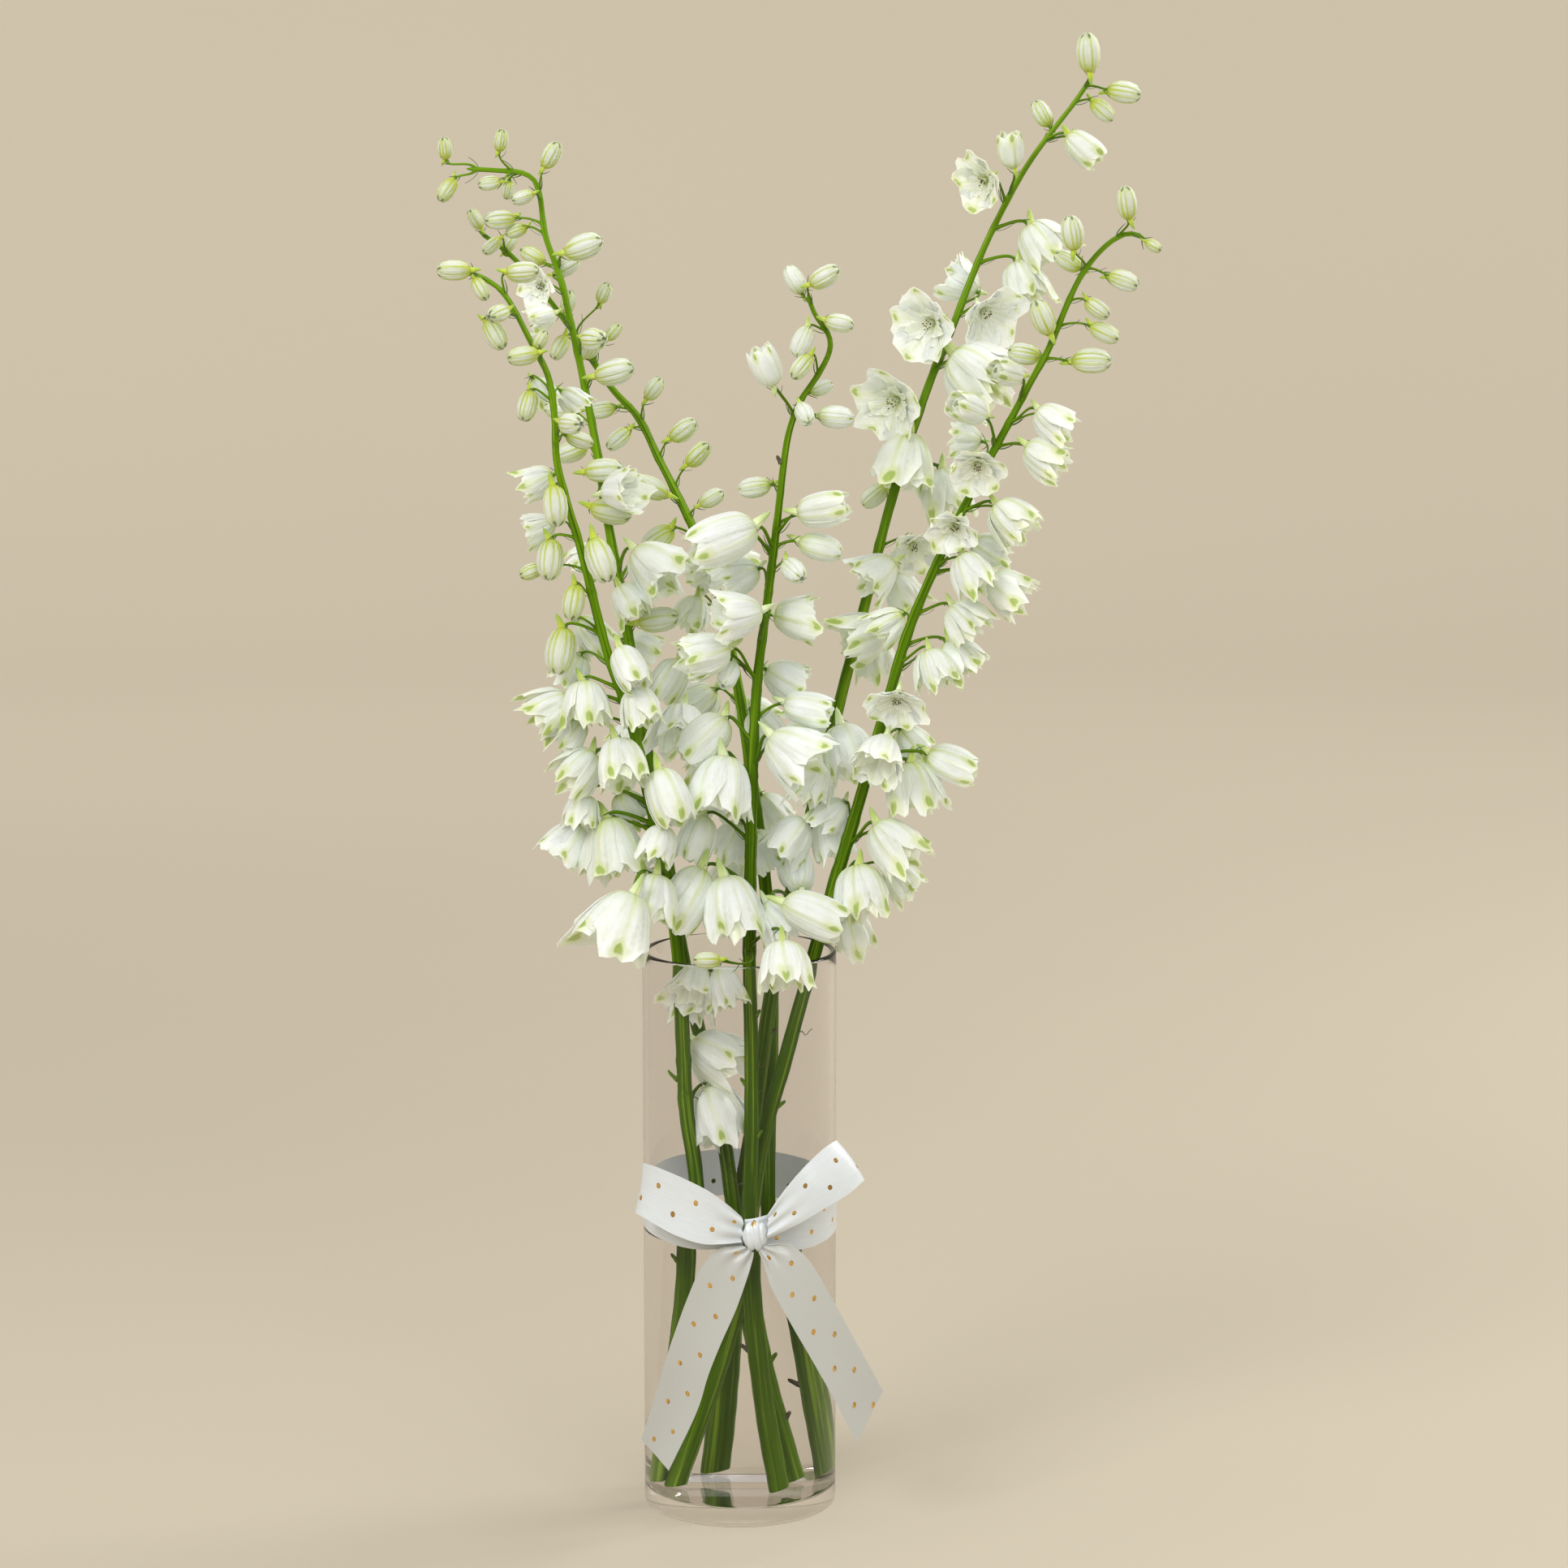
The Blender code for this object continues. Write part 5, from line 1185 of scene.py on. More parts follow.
    def make_anther(self):
        made, nodes, shader = self.begin("anther", Roughness=0.7)
        patches = nodes.group(self.mottle, {"Size": 0.8, "Grain": 0.5})["Value"]
        colour = nodes.mix(nodes.ease(patches, 0.35, 0.65), ANTHER_DARK, ANTHER_LIGHT)
        nodes.set(shader, {"Base Color": colour})
        bump = nodes.node("ShaderNodeBump", {"Strength": 0.5, "Distance": 0.0002, "Height": patches})
        nodes.set(shader, {"Normal": bump.outputs[0]})
        return made

    def make_green(self, name, ridge, stretch):
        """Stem skin: streaked along its length, its pale streaks partly painted highlights, darker in
        patches, with small pale specks.
        """
        made, nodes, shader = self.begin(name, **{"Specular IOR Level": 0.08})
        across, along = nodes.pattern()
        age, seed = nodes.trait("tone"), nodes.trait("seed")
        streak = nodes.group(self.streaks, {"Across": across, "Along": along, "Count": 14.0,
                                            "Stretch": stretch, "Seed": seed})["Value"]
        patches = nodes.group(self.mottle, {"Size": 12.0, "Grain": 0.35})["Value"]
        light = nodes.mix(age, self.colours.stem_dark, self.colours.stem_light)
        # Pale lines along the skin: partly real light ridges, partly painted highlights along them
        pale = nodes.mix(0.4, light, SKIN_STREAK_AND_HIGHLIGHT)
        colour = nodes.mix(nodes.ease(streak, 0.5, 0.68), light, pale)
        colour = nodes.mix(nodes.ease(streak, 0.48, 0.34, 0.0, 0.8), colour, self.colours.stem_dark)
        colour = nodes.mix(nodes.ease(patches, 0.42, 0.3, 0.0, 0.5), colour, self.colours.stem_dark)
        specks = nodes.ease(nodes.noise(nodes.object_place(), 1900.0, 1.0), 0.7, 0.76, 0.0, 0.4)
        colour = nodes.mix(specks, colour, SKIN_SPECK)
        nodes.set(shader, {"Base Color": colour, "Roughness": nodes.ease(patches, 0.3, 0.7, 0.36, 0.52)})
        height = nodes.math("MULTIPLY_ADD", streak, ridge, nodes.math("MULTIPLY", patches, 0.3))
        bump = nodes.node("ShaderNodeBump", {"Strength": 0.5, "Distance": 0.0005, "Height": height})
        nodes.set(shader, {"Normal": bump.outputs[0]})
        return made

    def make_bract(self):
        made, nodes, shader = self.begin("bract", Roughness=0.55)
        _, along = nodes.pattern()
        patches = nodes.group(self.mottle, {"Size": 3.0, "Grain": 0.4})["Value"]
        withered = nodes.ease(nodes.math("MULTIPLY_ADD", patches, 0.5, along), 0.7, 1.1)
        colour = nodes.mix(withered, BRACT_GREEN, BRACT_BROWN)
        nodes.set(shader, {"Base Color": colour})
        return made

    def make_cut(self):
        """The cut face of a stem: pale pith inside a green ring."""
        made, nodes, shader = self.begin("cut_end", Roughness=0.6)
        _, along = nodes.pattern()
        patches = nodes.group(self.mottle, {"Size": 1.5, "Grain": 0.5})["Value"]
        colour = nodes.mix(nodes.ease(along, 0.75, 0.95), PITH, CUT_RING)
        colour = nodes.mix(nodes.ease(patches, 0.35, 0.7, 0.0, 0.4), colour, PITH_DULL)
        nodes.set(shader, {"Base Color": colour})
        return made

    def make_satin(self):
        """White satin with a fine weave, bright along its length, and plain round gold dots."""
        made, nodes, shader = self.begin("ribbon_satin", Anisotropic=0.45)
        nodes.set(shader, {"Sheen Weight": 0.08, "Specular IOR Level": 0.8})
        across, along = nodes.pattern()
        # 1 on the hanging tails, whose cloth gets a darker colour as painted shade
        thin = nodes.trait("tone")
        sizes = self.sizes
        width, size, gap = sizes.ribbon_width / MM, sizes.dot_size / MM, sizes.dot_gap / MM
        x = nodes.math("MULTIPLY", across, width)
        y = nodes.math("DIVIDE", along, MM)
        warp = nodes.math("SINE", nodes.math("MULTIPLY", x, 2 * math.pi / WARP_STEP))
        weft = nodes.math("SINE", nodes.math("MULTIPLY", y, 2 * math.pi / WEFT_STEP))
        weave = nodes.math("MULTIPLY_ADD", weft, 0.35, warp)
        threads = {0: nodes.math("MULTIPLY", x, 1.6), 1: nodes.math("MULTIPLY", y, 0.08)}
        run = nodes.node("ShaderNodeCombineXYZ", threads)
        slub = nodes.noise(run.outputs[0], 1.0, 2.0)
        cell = nodes.math("DIVIDE", y, gap)
        part = nodes.math("SUBTRACT", nodes.math("FRACT", cell), 0.5)
        odd = nodes.math("MODULO", nodes.math("FLOOR", cell), 2.0)
        centre = nodes.math("MULTIPLY_ADD", odd, DOT_SECOND, DOT_FIRST)
        dx = nodes.math("SUBTRACT", x, centre)
        dy = nodes.math("MULTIPLY", part, gap)
        square = nodes.math("MULTIPLY_ADD", dx, dx, nodes.math("MULTIPLY", dy, dy))
        distance = nodes.math("SQRT", square)
        dot = nodes.ease(distance, size / 2 + 0.08, size / 2 - 0.08)
        selvedge = nodes.ease(nodes.math("ABSOLUTE", nodes.math("SUBTRACT", across, 0.5)), 0.475, 0.485)
        cloth = nodes.mix(nodes.ease(slub, 0.35, 0.7), self.colours.satin, SATIN_COOL)
        cloth = nodes.mix(nodes.math("MULTIPLY", selvedge, 0.35), cloth, SELVEDGE)
        # On the free-hanging tails the cloth turns darker: painted shade, as they are lit less, and partly
        # the darker look of one thin layer with the stems behind it
        cloth = nodes.mix(nodes.math("MULTIPLY", thin, 0.85), cloth, self.colours.shaded_thin_satin)
        foil = nodes.mix(nodes.ease(slub, 0.3, 0.7), self.colours.gold, GOLD_DEEP)
        nodes.set(shader, {"Base Color": nodes.mix(dot, cloth, foil), "Metallic": dot,
                           "Roughness": nodes.ease(dot, 0.0, 1.0, 0.3, 0.24)})
        cloth_height = nodes.math("MULTIPLY", weave, nodes.math("SUBTRACT", 1.0, dot))
        bump = nodes.node("ShaderNodeBump", {"Strength": 0.18, "Distance": 0.00006, "Height": cloth_height})
        nodes.set(shader, {"Normal": bump.outputs[0]})
        return made

    def make_clear(self, name, colour, bending):
        """Glass or water that lets the lamps' rays straight through, so that what is inside is lit."""
        made, nodes, shader = self.begin(name, IOR=bending)
        nodes.set(shader, {"Transmission Weight": 1.0, "Base Color": colour, "Specular Tint": CLEAR_SHINE})
        patches = nodes.group(self.mottle, {"Size": 40.0, "Grain": 0.2})["Value"]
        nodes.set(shader, {"Roughness": nodes.ease(patches, 0.45, 0.8, 0.0, 0.02)})
        path = nodes.node("ShaderNodeLightPath").outputs
        through = nodes.math("MAXIMUM", path["Is Shadow Ray"], path["Is Diffuse Ray"])
        film = nodes.node("ShaderNodeBsdfTransparent", {0: CLEAR_FILM}).outputs[0]
        both = nodes.node("ShaderNodeMixShader", {0: through, 1: shader.outputs[0], 2: film}).outputs[0]
        nodes.tree.links.new(both, nodes.tree.nodes["Material Output"].inputs["Surface"])
        return made


KEPT = {}


def finishes():
    """The materials, made when first asked for."""
    if "finishes" not in KEPT:
        scene = bpy.context.scene
        KEPT["finishes"] = Finishes(scene.delphinium_colours, scene.delphinium_sizes)
    return KEPT["finishes"]


def settle_piece(piece, slot_name, *nodes):
    """Puts a finished piece in the frame, in place of the nodes it stands for."""
    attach(piece, "root")
    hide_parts(*nodes)


def flower_finishes():
    made = finishes()
    return (made.petal, made.inner, made.anther, made.stalk, made.bract)


def chance_for(letter, number):
    return np.random.default_rng((ord(letter), number))


def make_own_florets():
    for index in sorted(GROWTH.own):
        letter, number = GROWTH.labels[index]
        shape = Shape()
        add_flower(shape, index, chance_for(letter, number))
        piece = shape.make(f"floret_{letter}_{number:02d}_bloom", flower_finishes())
        settle_piece(piece, "petals", f"floret_{letter}_{number:02d}")


def make_stem_florets():
    for wanted in GROWTH.stems:
        shape = Shape()
        for index, (letter, number) in enumerate(GROWTH.labels):
            if letter == wanted and index not in GROWTH.own:
                add_flower(shape, index, chance_for(letter, number))
        piece = shape.make(f"spike_{wanted}_blooms", flower_finishes())
        settle_piece(piece, "petals", f"stem_{wanted}")


def make_stems():
    """The ridged stems, swollen where stalks leave them and cut at a slant at the foot."""
    turn = np.linspace(0, 2 * math.pi, STEM_SIDES, endpoint=False)
    for letter, stem in GROWTH.stems.items():
        chance = chance_for(letter, 0)
        along = np.linspace(0, stem.along[-1], STEM_ROWS)
        line = np.stack([np.interp(along, stem.along, stem.line[:, axis]) for axis in range(3)], axis=1)
        radius = np.interp(along, stem.along, stem.radius)
        swelling = np.zeros(STEM_ROWS)
        for bloom in GROWTH.bunch.blooms:
            if bloom.stem is stem:
                away = (along - stem.along[bloom.root]) / SWELLING_REACH
                swelling = np.maximum(swelling, np.exp(-away**2))
        phase = chance.uniform(0, 6)
        ridges = 0.035 * np.cos(7 * turn[None] + phase + along[:, None] * 0.01)
        ridges = ridges + 0.02 * np.cos(3 * turn[None] + along[:, None] * 0.03)
        wander = 0.02 * np.sin(along * 0.11 + phase) + 0.015 * np.sin(along * 0.37)
        radii = radius[:, None] * (1 + ridges + wander[:, None] + SWELLING * swelling[:, None])
        radii[-1] *= 0.3
        shape = Shape()
        add_tube(shape, line, radii, STEM_SIDES, SKIN, (0.0, chance.uniform()))
        cut_foot(shape, stem, line[0], radius[0])
        at_points = np.concatenate((np.repeat(along, STEM_SIDES), (0.0, along[-1])))
        tone = np.interp(at_points, stem.along, stem.tone)
        shape.traits = [np.column_stack((tone, np.concatenate(shape.traits)[:, 1]))]
        for owner, height, turn_degrees, length, withered in STUBS:
            if owner == letter:
                add_stub(shape, stem, height, turn_degrees, length, withered)
        for owner, height, turn_degrees in THREADS:
            if owner == letter:
                add_thread(shape, stem, height, turn_degrees)
        piece = shape.make(f"spike_{letter}_stem", (finishes().stem, finishes().cut, finishes().bract))
        settle_piece(piece, "stem", f"stem_{letter}")


def skin_place(stem, height, turn_degrees):
    """A point on a stem's skin, the direction away from the stem there, and the stem's own direction."""
    number = int(np.clip(np.argmin(np.abs(stem.line[:, 2] - height)), 1, LINE_POINTS - 2))
    direction, turn = stem.direction(number), math.radians(turn_degrees)
    away = np.array((math.cos(turn), math.sin(turn), 0.0))
    away = unit(away - direction * (away @ direction))
    return stem.line[number] + away * stem.radius[number] * 0.85, away, direction


def add_stub(shape, stem, height, turn_degrees, length, withered):
    """What is left of a leaf: a short blunt stub on a swollen foot."""
    start, away, direction = skin_place(stem, height, turn_degrees)
    t = np.linspace(0, 1, 8)[:, None]
    line = start - direction * 1.2 * (1 - t) + away * length * t + direction * length * 0.7 * t**2
    radii = np.array((1.9, 1.7, 1.3, 1.05, 0.95, 0.95, 0.8, 0.35))
    finish, along = (WITHERED, (0.6, 1.4)) if withered else (SKIN, (0.0, 0.1))
    add_tube(shape, line, radii, 8, finish, (0.35, 0.5), along=along)


def add_thread(shape, stem, height, turn_degrees):
    """A withered thread of leaf that curls away from a stem."""
    start, away, direction = skin_place(stem, height, turn_degrees)
    side = np.cross(direction, away)
    t = np.linspace(0, 1, 22)[:, None]
    line = start + away * 6.5 * t + direction * (2.4 * np.sin(8.5 * t) * t + 2.0 * t)
    line = line + side * 1.8 * (np.cos(8.5 * t) - 1) * t
    add_tube(shape, line, np.linspace(0.34, 0.16, 22), 5, WITHERED, (0.3, 0.5), along=(0.5, 1.2))


def cut_foot(shape, stem, foot, radius):
    """Slants the first ring and its middle, and gives the cut its own finish."""
    upward = unit(stem.line[1] - stem.line[0])
    for points in (shape.points[0][:STEM_SIDES], shape.points[1]):
        height = FLOOR_HEIGHT + CUT_CLEAR + (points[:, 0] - foot[0] + radius) * CUT_SLANT
        points += upward * ((height - points[:, 2]) / upward[2])[:, None]
    shape.numbers[1][:] = CUT
    shape.maps[1][:] = np.tile(((0.5, 1.0), (0.5, 1.0), (0.5, 0.0)), (STEM_SIDES, 1))


def turned_surface(rings, sides):
    """The grid of points that rings of (radius, height) sweep round the upright axis."""
    rings = np.array(rings, float)
    turn = np.linspace(0, 2 * math.pi, sides, endpoint=False)
    return np.stack((rings[:, :1] * np.cos(turn), rings[:, :1] * np.sin(turn),
                     np.repeat(rings[:, 1:], sides, axis=1)), axis=2)


def turned(name, profile, material):
    """A closed shape turned from a profile of (radius, height) that starts and ends on the upright axis."""
    surface = turned_surface(profile[1:-1], VASE_SIDES)
    rows = len(surface)
    maps = grid_maps(rows, VASE_SIDES, np.linspace(0, 1, rows), wrap=True).reshape(-1, 4, 2)[:, ::-1]
    shape = Shape()
    shape.add(surface, grid_quads(rows, VASE_SIDES, wrap=True)[:, ::-1], maps, 0, PLAIN)
    shape.add_fan(0, VASE_SIDES, (0.0, 0.0, profile[0][1]), 1, 0, PLAIN, 0.0)
    shape.add_fan((rows - 1) * VASE_SIDES, VASE_SIDES, (0.0, 0.0, profile[-1][1]), -1, 0, PLAIN, 1.0)
    return shape.make(name, (material,), smooth_angle=40)


def arc(centre, radius, first, last, count):
    """Points of a rounding, from one angle to another, in degrees."""
    angles = np.radians(np.linspace(first, last, count))
    return [(centre[0] + radius * math.cos(angle), centre[1] + radius * math.sin(angle)) for angle in angles]


def make_vase():
    """The glass: from the middle of its floor up the inside, over the rim, and down to its underside."""
    wall = bpy.context.scene.delphinium_sizes.glass_wall / MM
    inner = VASE_RADIUS - wall
    rim = (VASE_RADIUS - wall / 2, VASE_HEIGHT - wall / 2)
    foot = (VASE_RADIUS - FOOT_ROUNDING, FOOT_ROUNDING)
    corner = (inner - INNER_ROUNDING, FLOOR_HEIGHT + INNER_ROUNDING)
    profile = [(0.0, FLOOR_HEIGHT + 0.6), (12, FLOOR_HEIGHT + 0.5), (26, FLOOR_HEIGHT + 0.2)]
    profile += [(38, FLOOR_HEIGHT)] + arc(corner, INNER_ROUNDING, -90, 0, 7)
    profile += [(inner, height) for height in np.linspace(20, VASE_HEIGHT - 8, 12)]
    profile += arc(rim, wall / 2, 180, 0, 13)
    profile += [(VASE_RADIUS, height) for height in np.linspace(VASE_HEIGHT - 8, 12, 12)]
    profile += arc(foot, FOOT_ROUNDING, 0, -90, 9)
    profile += [(38, 0.0), (30, 0.12), (20, 0.25), (10, 0.33), (0.0, 0.35)]
    settle_piece(turned("vase_glass", profile, finishes().glass), "glass", "vase")


def make_water():
    """The water, set a little into the glass so that no air shows between them, and drawn up at its edge."""
    radius = VASE_RADIUS - bpy.context.scene.delphinium_sizes.glass_wall / MM + 0.15
    low = FLOOR_HEIGHT - 0.15
    drawn_up = ((8, -0.4), (4, -0.25), (2, 0.2), (0.8, 1.0), (0, 2.0))
    profile = [(0.0, WATER_HEIGHT - 0.4)]
    profile += [(radius - inward, WATER_HEIGHT + rise) for inward, rise in drawn_up]
    profile += [(radius, height) for height in np.linspace(WATER_HEIGHT - 4, low + 6, 8)]
    profile += arc((radius - INNER_ROUNDING, low + INNER_ROUNDING), INNER_ROUNDING, 0, -90, 7)
    profile += [(36, low + 0.1), (26, low + 0.2), (12, low + 0.5), (0.0, low + 0.6)]
    settle_piece(turned("vase_water", profile, finishes().water), "water", "water")


def fold_height(across, projected, width, waves, phase):
    """Depth of the folds across a ribbon whose full width is drawn into a projected one."""
    fits = np.clip(width / np.maximum(projected, 1e-6), 1.0, 2.2)
    swing = projected / (math.pi * waves) * np.sqrt(np.maximum(fits**2 - 1, 0)) * 0.72
    wave = np.sin(math.pi * waves * across[None] + phase)
    wave = wave - (1 - across[None]) * math.sin(phase) - across[None] * math.sin(math.pi * waves + phase)
    return swing[:, None] * wave


def make_run(name, pairs, node, loop):
    """A loop or a tail of ribbon between two edges. Where they come together, it lies in folds."""
    one = smooth_route([sight_point(across, down, depth) for across, down, _, _, depth in pairs], RUN_ROWS)
    other = smooth_route([sight_point(across, down, depth) for _, _, across, down, depth in pairs], RUN_ROWS)
    width = bpy.context.scene.delphinium_sizes.ribbon_width / MM
    across = np.linspace(0, 1, RUN_COLUMNS)
    middle = (one + other) / 2
    along = np.concatenate(((0,), np.cumsum(np.linalg.norm(np.diff(middle, axis=0), axis=1))))
    surface = one[:, None] * (1 - across)[None, :, None] + other[:, None] * across[None, :, None]
    normal = surface_normals(surface).mean(axis=1, keepdims=True)
    projected = np.linalg.norm(other - one, axis=1)
    near = np.exp(-(along / GATHER_REACH) ** 2)
    if loop:
        near = near + np.exp(-((along[-1] - along) / GATHER_REACH) ** 2)
    folds = fold_height(across, projected, width, GATHER_WAVES, 0.8) * near[:, None]
    crown = CROWN * np.sin(math.pi * across)[None] * (1 - near[:, None])
    surface = surface + normal * (folds + crown)[..., None]
    add_ribbon(name, surface, along, node, 0.0 if loop else 1.0)


def add_ribbon(name, surface, along, node, tone):
    """Makes one run of ribbon. Its tone is 1 where a single layer hangs free."""
    sizes = bpy.context.scene.delphinium_sizes
    shape = Shape()
    thickness = sizes.ribbon_thickness / MM
    # tone 1 marks the tails, whose cloth is painted darker: painted shade, and partly one thin layer's darker
    # look
    add_shell(shape, surface, thickness, along * MM, 0, (tone, 0.0))
    piece = shape.make(name, (finishes().satin,), smooth_angle=60)
    settle_piece(piece, "satin", node)


def make_band():
    """The ribbon round the glass, drawn into folds under the knot, where its two ends meet."""
    turns = np.linspace(KNOT_TURN - 359.5, KNOT_TURN - 0.5, BAND_ROWS)
    places = (turns - BAND_TURNS[0]) % 360 + BAND_TURNS[0]
    across = np.linspace(0, 1, BAND_COLUMNS)
    width = bpy.context.scene.delphinium_sizes.ribbon_width / MM
    height = np.interp(places, BAND_TURNS, BAND_HEIGHTS)
    near = np.exp(-((places - KNOT_TURN) / KNOT_SPREAD) ** 2)
    projected = width * (1 - KNOT_PINCH * near)
    folds = np.abs(fold_height(across, projected, width, GATHER_WAVES, 0.0)) * 0.6
    radius = BAND_RADIUS + folds + 0.1 * np.sin(np.radians(turns * 3))[:, None] ** 2
    level = height[:, None] + (across[None] - 0.5) * projected[:, None]
    around = np.radians(turns)[:, None]
    surface = np.stack((radius * np.cos(around), radius * np.sin(around), level), axis=2)
    along = np.radians(turns - turns[0]) * BAND_RADIUS
    add_ribbon("ribbon_round_vase", surface[:, ::-1], along, "ribbon_band", 0.0)


def make_knot():
    """The knot: a barrel of satin pulled round the bow, with folds that run over it at a slant."""
    turn = np.linspace(0, 2 * math.pi, KNOT_SIDES, endpoint=False)
    part = np.linspace(-1, 1, KNOT_ROWS)
    ends = np.sqrt(np.clip(1 - np.abs(part) ** 2.6, 0.003, 1))
    slant = part[:, None] * 3.4 + 0.5 * np.sin(turn)[None]
    folds = 0.09 * np.sin(slant * 2.6) + 0.04 * np.sin(slant * 5.7 + 1.0 + 0.6 * np.cos(turn)[None])
    radius = ends[:, None] * (1 + folds) * (1 - 0.1 * part[:, None] ** 2)
    across = part[:, None] * KNOT_RADII[0] + 0.5 * np.cos(turn)[None]
    surface = np.stack((np.broadcast_to(across, radius.shape), radius * np.cos(turn)[None] * KNOT_RADII[1],
                        radius * np.sin(turn)[None] * KNOT_RADII[2]), axis=2) + KNOT
    shape = Shape()
    maps = grid_maps(KNOT_ROWS, KNOT_SIDES, np.linspace(0, KNOT_MAP_LENGTH, KNOT_ROWS), wrap=True)
    shape.add(surface, grid_quads(KNOT_ROWS, KNOT_SIDES, wrap=True), maps, 0, PLAIN)
    shape.add_fan(0, KNOT_SIDES, surface[0].mean(axis=0), -1, 0, PLAIN, 0.0)
    last_ring = (KNOT_ROWS - 1) * KNOT_SIDES
    shape.add_fan(last_ring, KNOT_SIDES, surface[-1].mean(axis=0), 1, 0, PLAIN, KNOT_MAP_LENGTH)
    piece = shape.make("ribbon_knot_folds", (finishes().satin,), smooth_angle=60)
    settle_piece(piece, "satin", "ribbon_knot")


def make_stage():
    """A plain round floor that curves up into a wall. It glows more far away, and little in front."""
    colours = bpy.context.scene.delphinium_colours
    made = bpy.data.materials.new("stage")
    made.use_nodes = True
    nodes = Tree(made.node_tree)
    shader = made.node_tree.nodes["Principled BSDF"]
    place = nodes.object_place()
    patches = nodes.noise(place, 3.0, 2.0)
    from_middle = nodes.node("ShaderNodeVectorMath", {0: place}, operation="LENGTH").outputs["Value"]
    near_glow = nodes.ease(from_middle, 0.4, 3.4, 0.16, 0.66)
    glow = nodes.math("ADD", near_glow, nodes.ease(from_middle, 3.4, 6.0, 0.0, 0.14))
    depth = nodes.node("ShaderNodeSeparateXYZ", {0: place}).outputs[1]
    glow = nodes.math("MULTIPLY", glow, nodes.ease(depth, -2.6, -0.3, FRONT_GLOW, 1.0))
    nodes.set(shader, {"Roughness": 0.85, "Specular IOR Level": 0.2, "Emission Color": colours.floor,
                       "Emission Strength": glow,
                       "Base Color": nodes.mix(nodes.ease(patches, 0.3, 0.7, 0.0, 0.06), colours.floor,
                                               FLOOR_PATCH)})
    profile = [(0.0, -0.02), (1500, -0.02), (3000, 0.0)]
    profile += arc((STAGE_FLAT, STAGE_BEND), STAGE_BEND, -90, -8, 24)
    profile += [(STAGE_FLAT + STAGE_BEND - 10, WALL_HEIGHT)]
    surface = turned_surface(profile[1:], STAGE_SIDES)
    rows = len(surface)
    shape = Shape()
    shape.add(surface, grid_quads(rows, STAGE_SIDES, wrap=True),
              grid_maps(rows, STAGE_SIDES, np.linspace(0, 1, rows), wrap=True), 0, PLAIN)
    shape.add_fan(0, STAGE_SIDES, (0.0, 0.0, profile[0][1]), 1, 0, PLAIN, 0.0)
    floor = shape.make("studio_floor", (made,))


def add_lamp(name, place, target, size, power, colour):
    lamp = bpy.data.lights.new(name, "AREA")
    lamp.shape = "RECTANGLE"
    lamp.size, lamp.size_y = size
    lamp.energy = power
    lamp.color = colour
    made = bpy.data.objects.new(name, lamp)
    made.location = place
    direction = np.array(target) - np.array(place)
    made.rotation_euler = Vector(direction).to_track_quat("-Z", "Y").to_euler()
    bpy.context.scene.collection.objects.link(made)


def make_lights():
    for lamp in LAMPS:
        add_lamp(*lamp)
    world = bpy.data.worlds.new("studio_air")
    world.use_nodes = True
    background = world.node_tree.nodes["Background"]
    background.inputs["Color"].default_value = AIR_COLOUR
    background.inputs["Strength"].default_value = AIR_STRENGTH
    bpy.context.scene.world = world


def make_camera():
    lens = bpy.data.cameras.new("eye")
    lens.sensor_width = 36.0
    lens.lens = FOCAL_PIXELS / PICTURE_PIXELS * lens.sensor_width
    lens.clip_end = 60.0
    made = bpy.data.objects.new("eye", lens)
    made.location = [float(value) * MM for value in EYE]
    made.rotation_euler = (math.pi / 2 - PITCH, 0.0, 0.0)
    bpy.context.scene.collection.objects.link(made)
    bpy.context.scene.camera = made
    bpy.context.scene.view_settings.view_transform = "Standard"


def length_value(name, description, default):
    return bpy.props.FloatProperty(name=name, description=description, default=default, min=0.0,
                                   subtype="DISTANCE", unit="LENGTH")


def colour_value(name, description, default):
    return bpy.props.FloatVectorProperty(name=name, description=description, default=(*default, 1.0), size=4,
                                         min=0.0, max=1.0, subtype="COLOR")


class DelphiniumSizes(bpy.types.PropertyGroup):
    """Sizes that the frame doesn't fix."""

    glass_wall: length_value("Glass wall", "Thickness of the vase's wall", GLASS_WALL * MM)
    ribbon_width: length_value("Ribbon width", "Full width of the satin ribbon", RIBBON_WIDTH * MM)
    ribbon_thickness: length_value("Ribbon thickness", "Thickness of the satin", RIBBON_THICKNESS * MM)
    dot_size: length_value("Dot size", "Width of a gold dot", DOT_SIZE * MM)
    dot_gap: length_value("Dot gap", "Step between gold dots along the ribbon", DOT_GAP * MM)


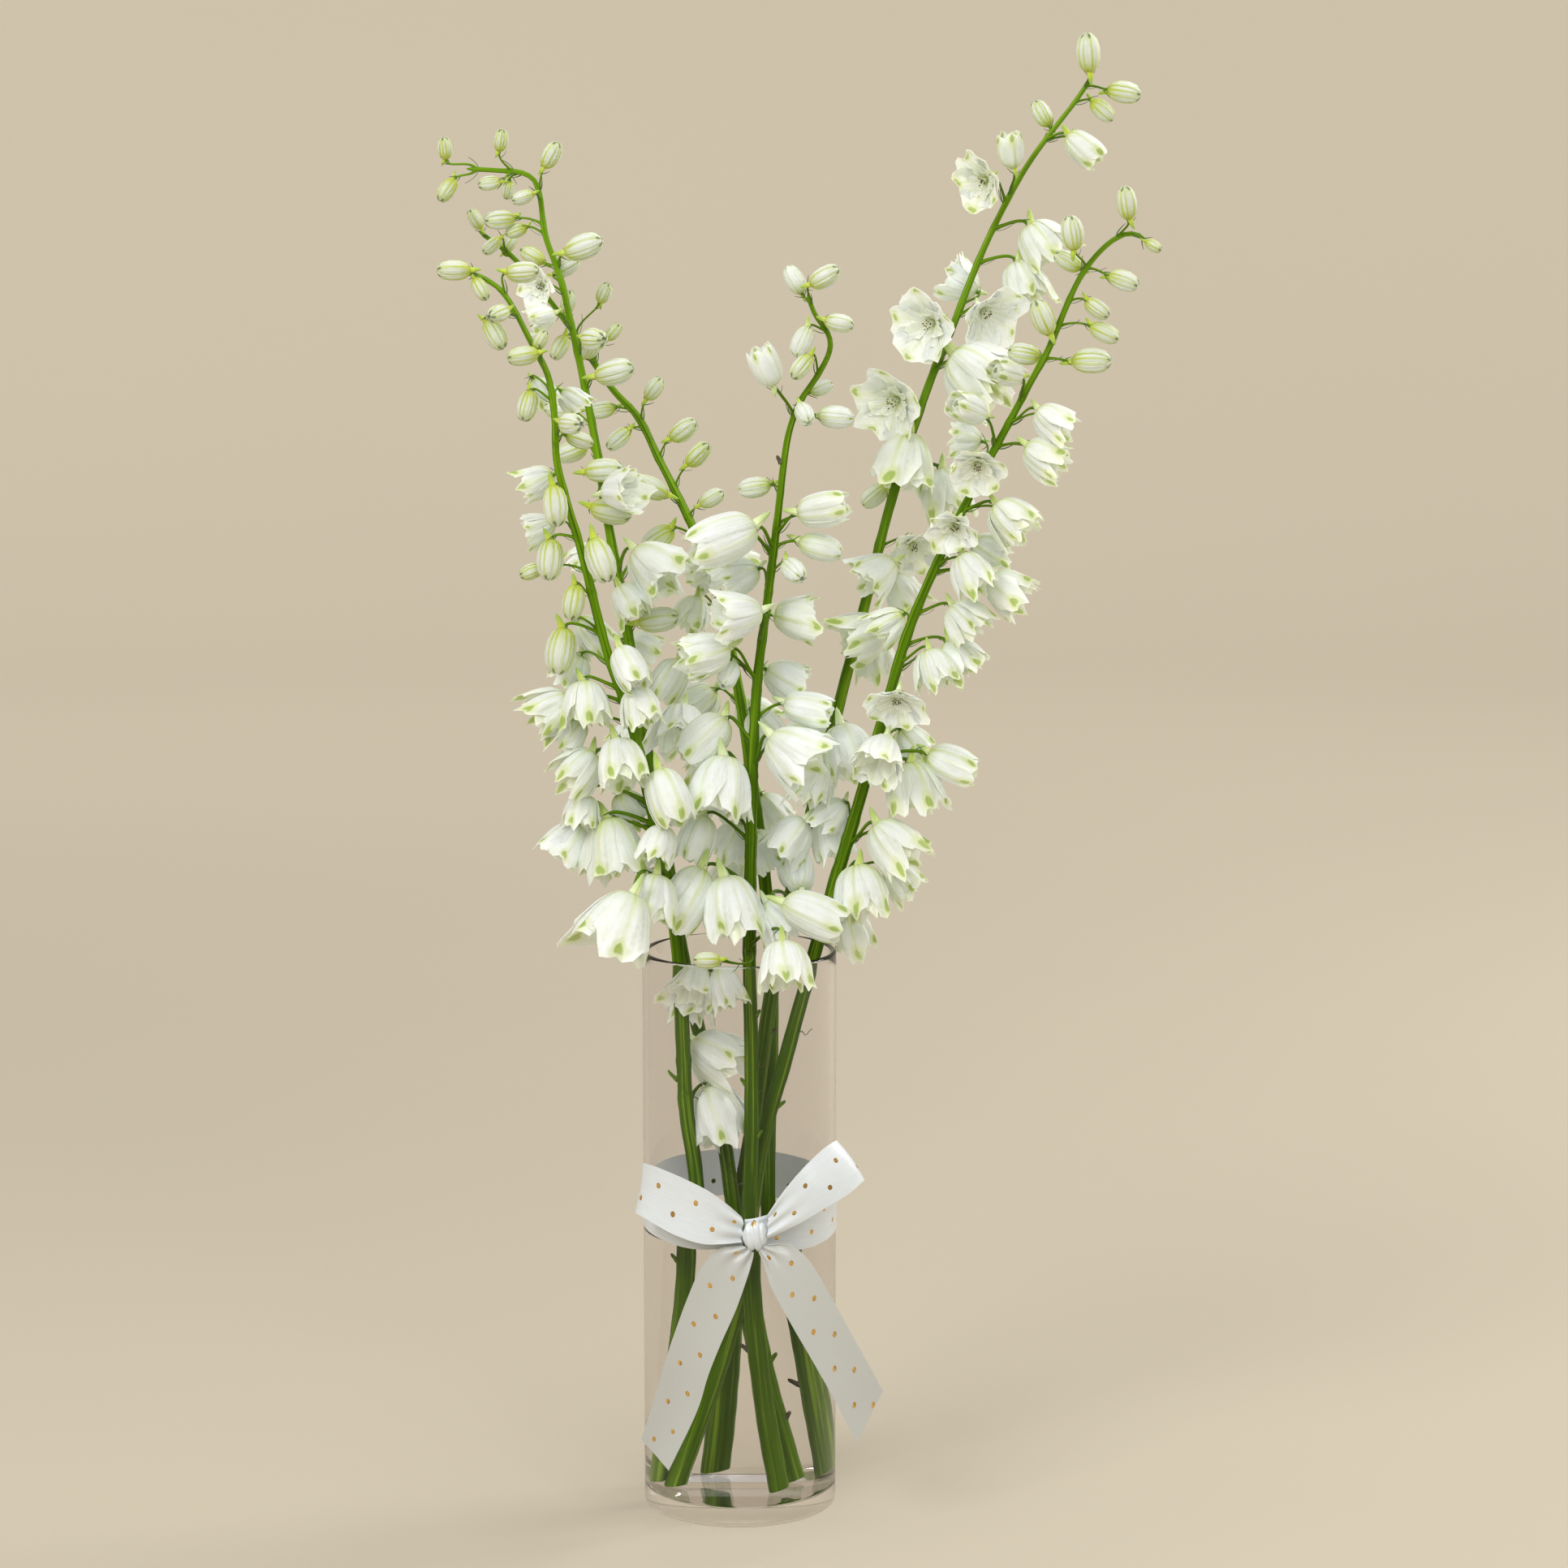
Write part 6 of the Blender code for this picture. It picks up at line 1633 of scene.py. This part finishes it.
class DelphiniumColours(bpy.types.PropertyGroup):
    """Colours of the flowers, the ribbon, the glass and the floor."""

    petal_white: colour_value("Petal white", "Main colour of the sepals", (0.88, 0.925, 0.93))
    petal_green: colour_value("Petal green", "Green flush of buds and veins", (0.46, 0.56, 0.045))
    petal_spot: colour_value("Petal spot", "Spot near the tip of a sepal", (0.2, 0.32, 0.008))
    bud_tip: colour_value("Bud tip", "Dark tips of closed buds", (0.06, 0.1, 0.025))
    inner_petal: colour_value("Inner petal", "Small petals in the flower's mouth", (0.87, 0.895, 0.82))
    stem_dark: colour_value("Stem dark", "Lower part of the stems", (0.034, 0.078, 0.0008))
    stem_light: colour_value("Stem light", "Upper part of the stems and the stalks", (0.138, 0.285, 0.004))
    satin: colour_value("Satin", "Ribbon cloth", (0.67, 0.72, 0.765))
    # Darker cloth of the tails: painted shade, and partly the darker look of one thin layer
    shaded_thin_satin: colour_value("Thin satin", "Cloth where one layer lets light through", (0.46, 0.47, 0.45))
    gold: colour_value("Gold", "Foil dots on the ribbon", (0.86, 0.6, 0.22))
    glass: colour_value("Glass", "Tint of the glass", (0.915, 0.9, 0.9))
    water: colour_value("Water", "Tint of the water", (0.99, 0.985, 0.97))
    floor: colour_value("Floor", "Plain floor of the studio", (0.425, 0.382, 0.305))


class DELPHINIUM_OT_vase(bpy.types.Operator):
    """Make the glass vase and the water in it"""

    bl_idname = "delphinium.vase"
    bl_label = "Vase and water"

    def execute(self, context):
        make_vase()
        make_water()
        return {"FINISHED"}


class DELPHINIUM_OT_stems(bpy.types.Operator):
    """Make the six cut stems"""

    bl_idname = "delphinium.stems"
    bl_label = "Stems"

    def execute(self, context):
        make_stems()
        return {"FINISHED"}


class DELPHINIUM_OT_florets(bpy.types.Operator):
    """Make the largest florets, each a piece of its own"""

    bl_idname = "delphinium.florets"
    bl_label = "Large florets"

    def execute(self, context):
        make_own_florets()
        return {"FINISHED"}


class DELPHINIUM_OT_spikes(bpy.types.Operator):
    """Make each spike's buds and smaller florets"""

    bl_idname = "delphinium.spikes"
    bl_label = "Buds and small florets"

    def execute(self, context):
        make_stem_florets()
        return {"FINISHED"}


class DELPHINIUM_OT_ribbon(bpy.types.Operator):
    """Make the satin ribbon: band, loops, tails and knot"""

    bl_idname = "delphinium.ribbon"
    bl_label = "Ribbon bow"

    def execute(self, context):
        make_band()
        make_run("ribbon_left_loop", LEFT_LOOP, "ribbon_loop_left", loop=True)
        make_run("ribbon_right_loop", RIGHT_LOOP, "ribbon_loop_right", loop=True)
        make_run("ribbon_left_tail", LEFT_TAIL, "ribbon_tail_left", loop=False)
        make_run("ribbon_right_tail", RIGHT_TAIL, "ribbon_tail_right", loop=False)
        make_knot()
        return {"FINISHED"}


class DELPHINIUM_OT_stage(bpy.types.Operator):
    """Make the plain studio: floor, lamps and camera"""

    bl_idname = "delphinium.stage"
    bl_label = "Studio"

    def execute(self, context):
        make_camera()
        make_stage()
        make_lights()
        return {"FINISHED"}


STEPS = (DELPHINIUM_OT_stage, DELPHINIUM_OT_vase, DELPHINIUM_OT_stems, DELPHINIUM_OT_florets,
         DELPHINIUM_OT_spikes, DELPHINIUM_OT_ribbon)


class DELPHINIUM_PT_panel(bpy.types.Panel):
    """Lists the pieces, their sizes and their colours"""

    bl_idname = "DELPHINIUM_PT_panel"
    bl_label = "Delphinium vase"
    bl_space_type = "VIEW_3D"
    bl_region_type = "UI"
    bl_category = "Delphinium"

    def draw(self, context):
        column = self.layout.column()
        for group in (context.scene.delphinium_sizes, context.scene.delphinium_colours):
            for name in group.__annotations__:
                column.prop(group, name)
        for step in STEPS:
            column.operator(step.bl_idname)


CLASSES = (DelphiniumSizes, DelphiniumColours, *STEPS, DELPHINIUM_PT_panel)


def register():
    for item in CLASSES:
        bpy.utils.register_class(item)
    bpy.types.Scene.delphinium_sizes = bpy.props.PointerProperty(type=DelphiniumSizes)
    bpy.types.Scene.delphinium_colours = bpy.props.PointerProperty(type=DelphiniumColours)


def unregister():
    del bpy.types.Scene.delphinium_colours
    del bpy.types.Scene.delphinium_sizes
    for item in reversed(CLASSES):
        bpy.utils.unregister_class(item)


def main():
    register()
    for step in STEPS:
        group, name = step.bl_idname.split(".")
        if getattr(getattr(bpy.ops, group), name)() != {"FINISHED"}:
            raise RuntimeError(f"{step.bl_label} wasn't finished")


if __name__ == "__main__":
    main()
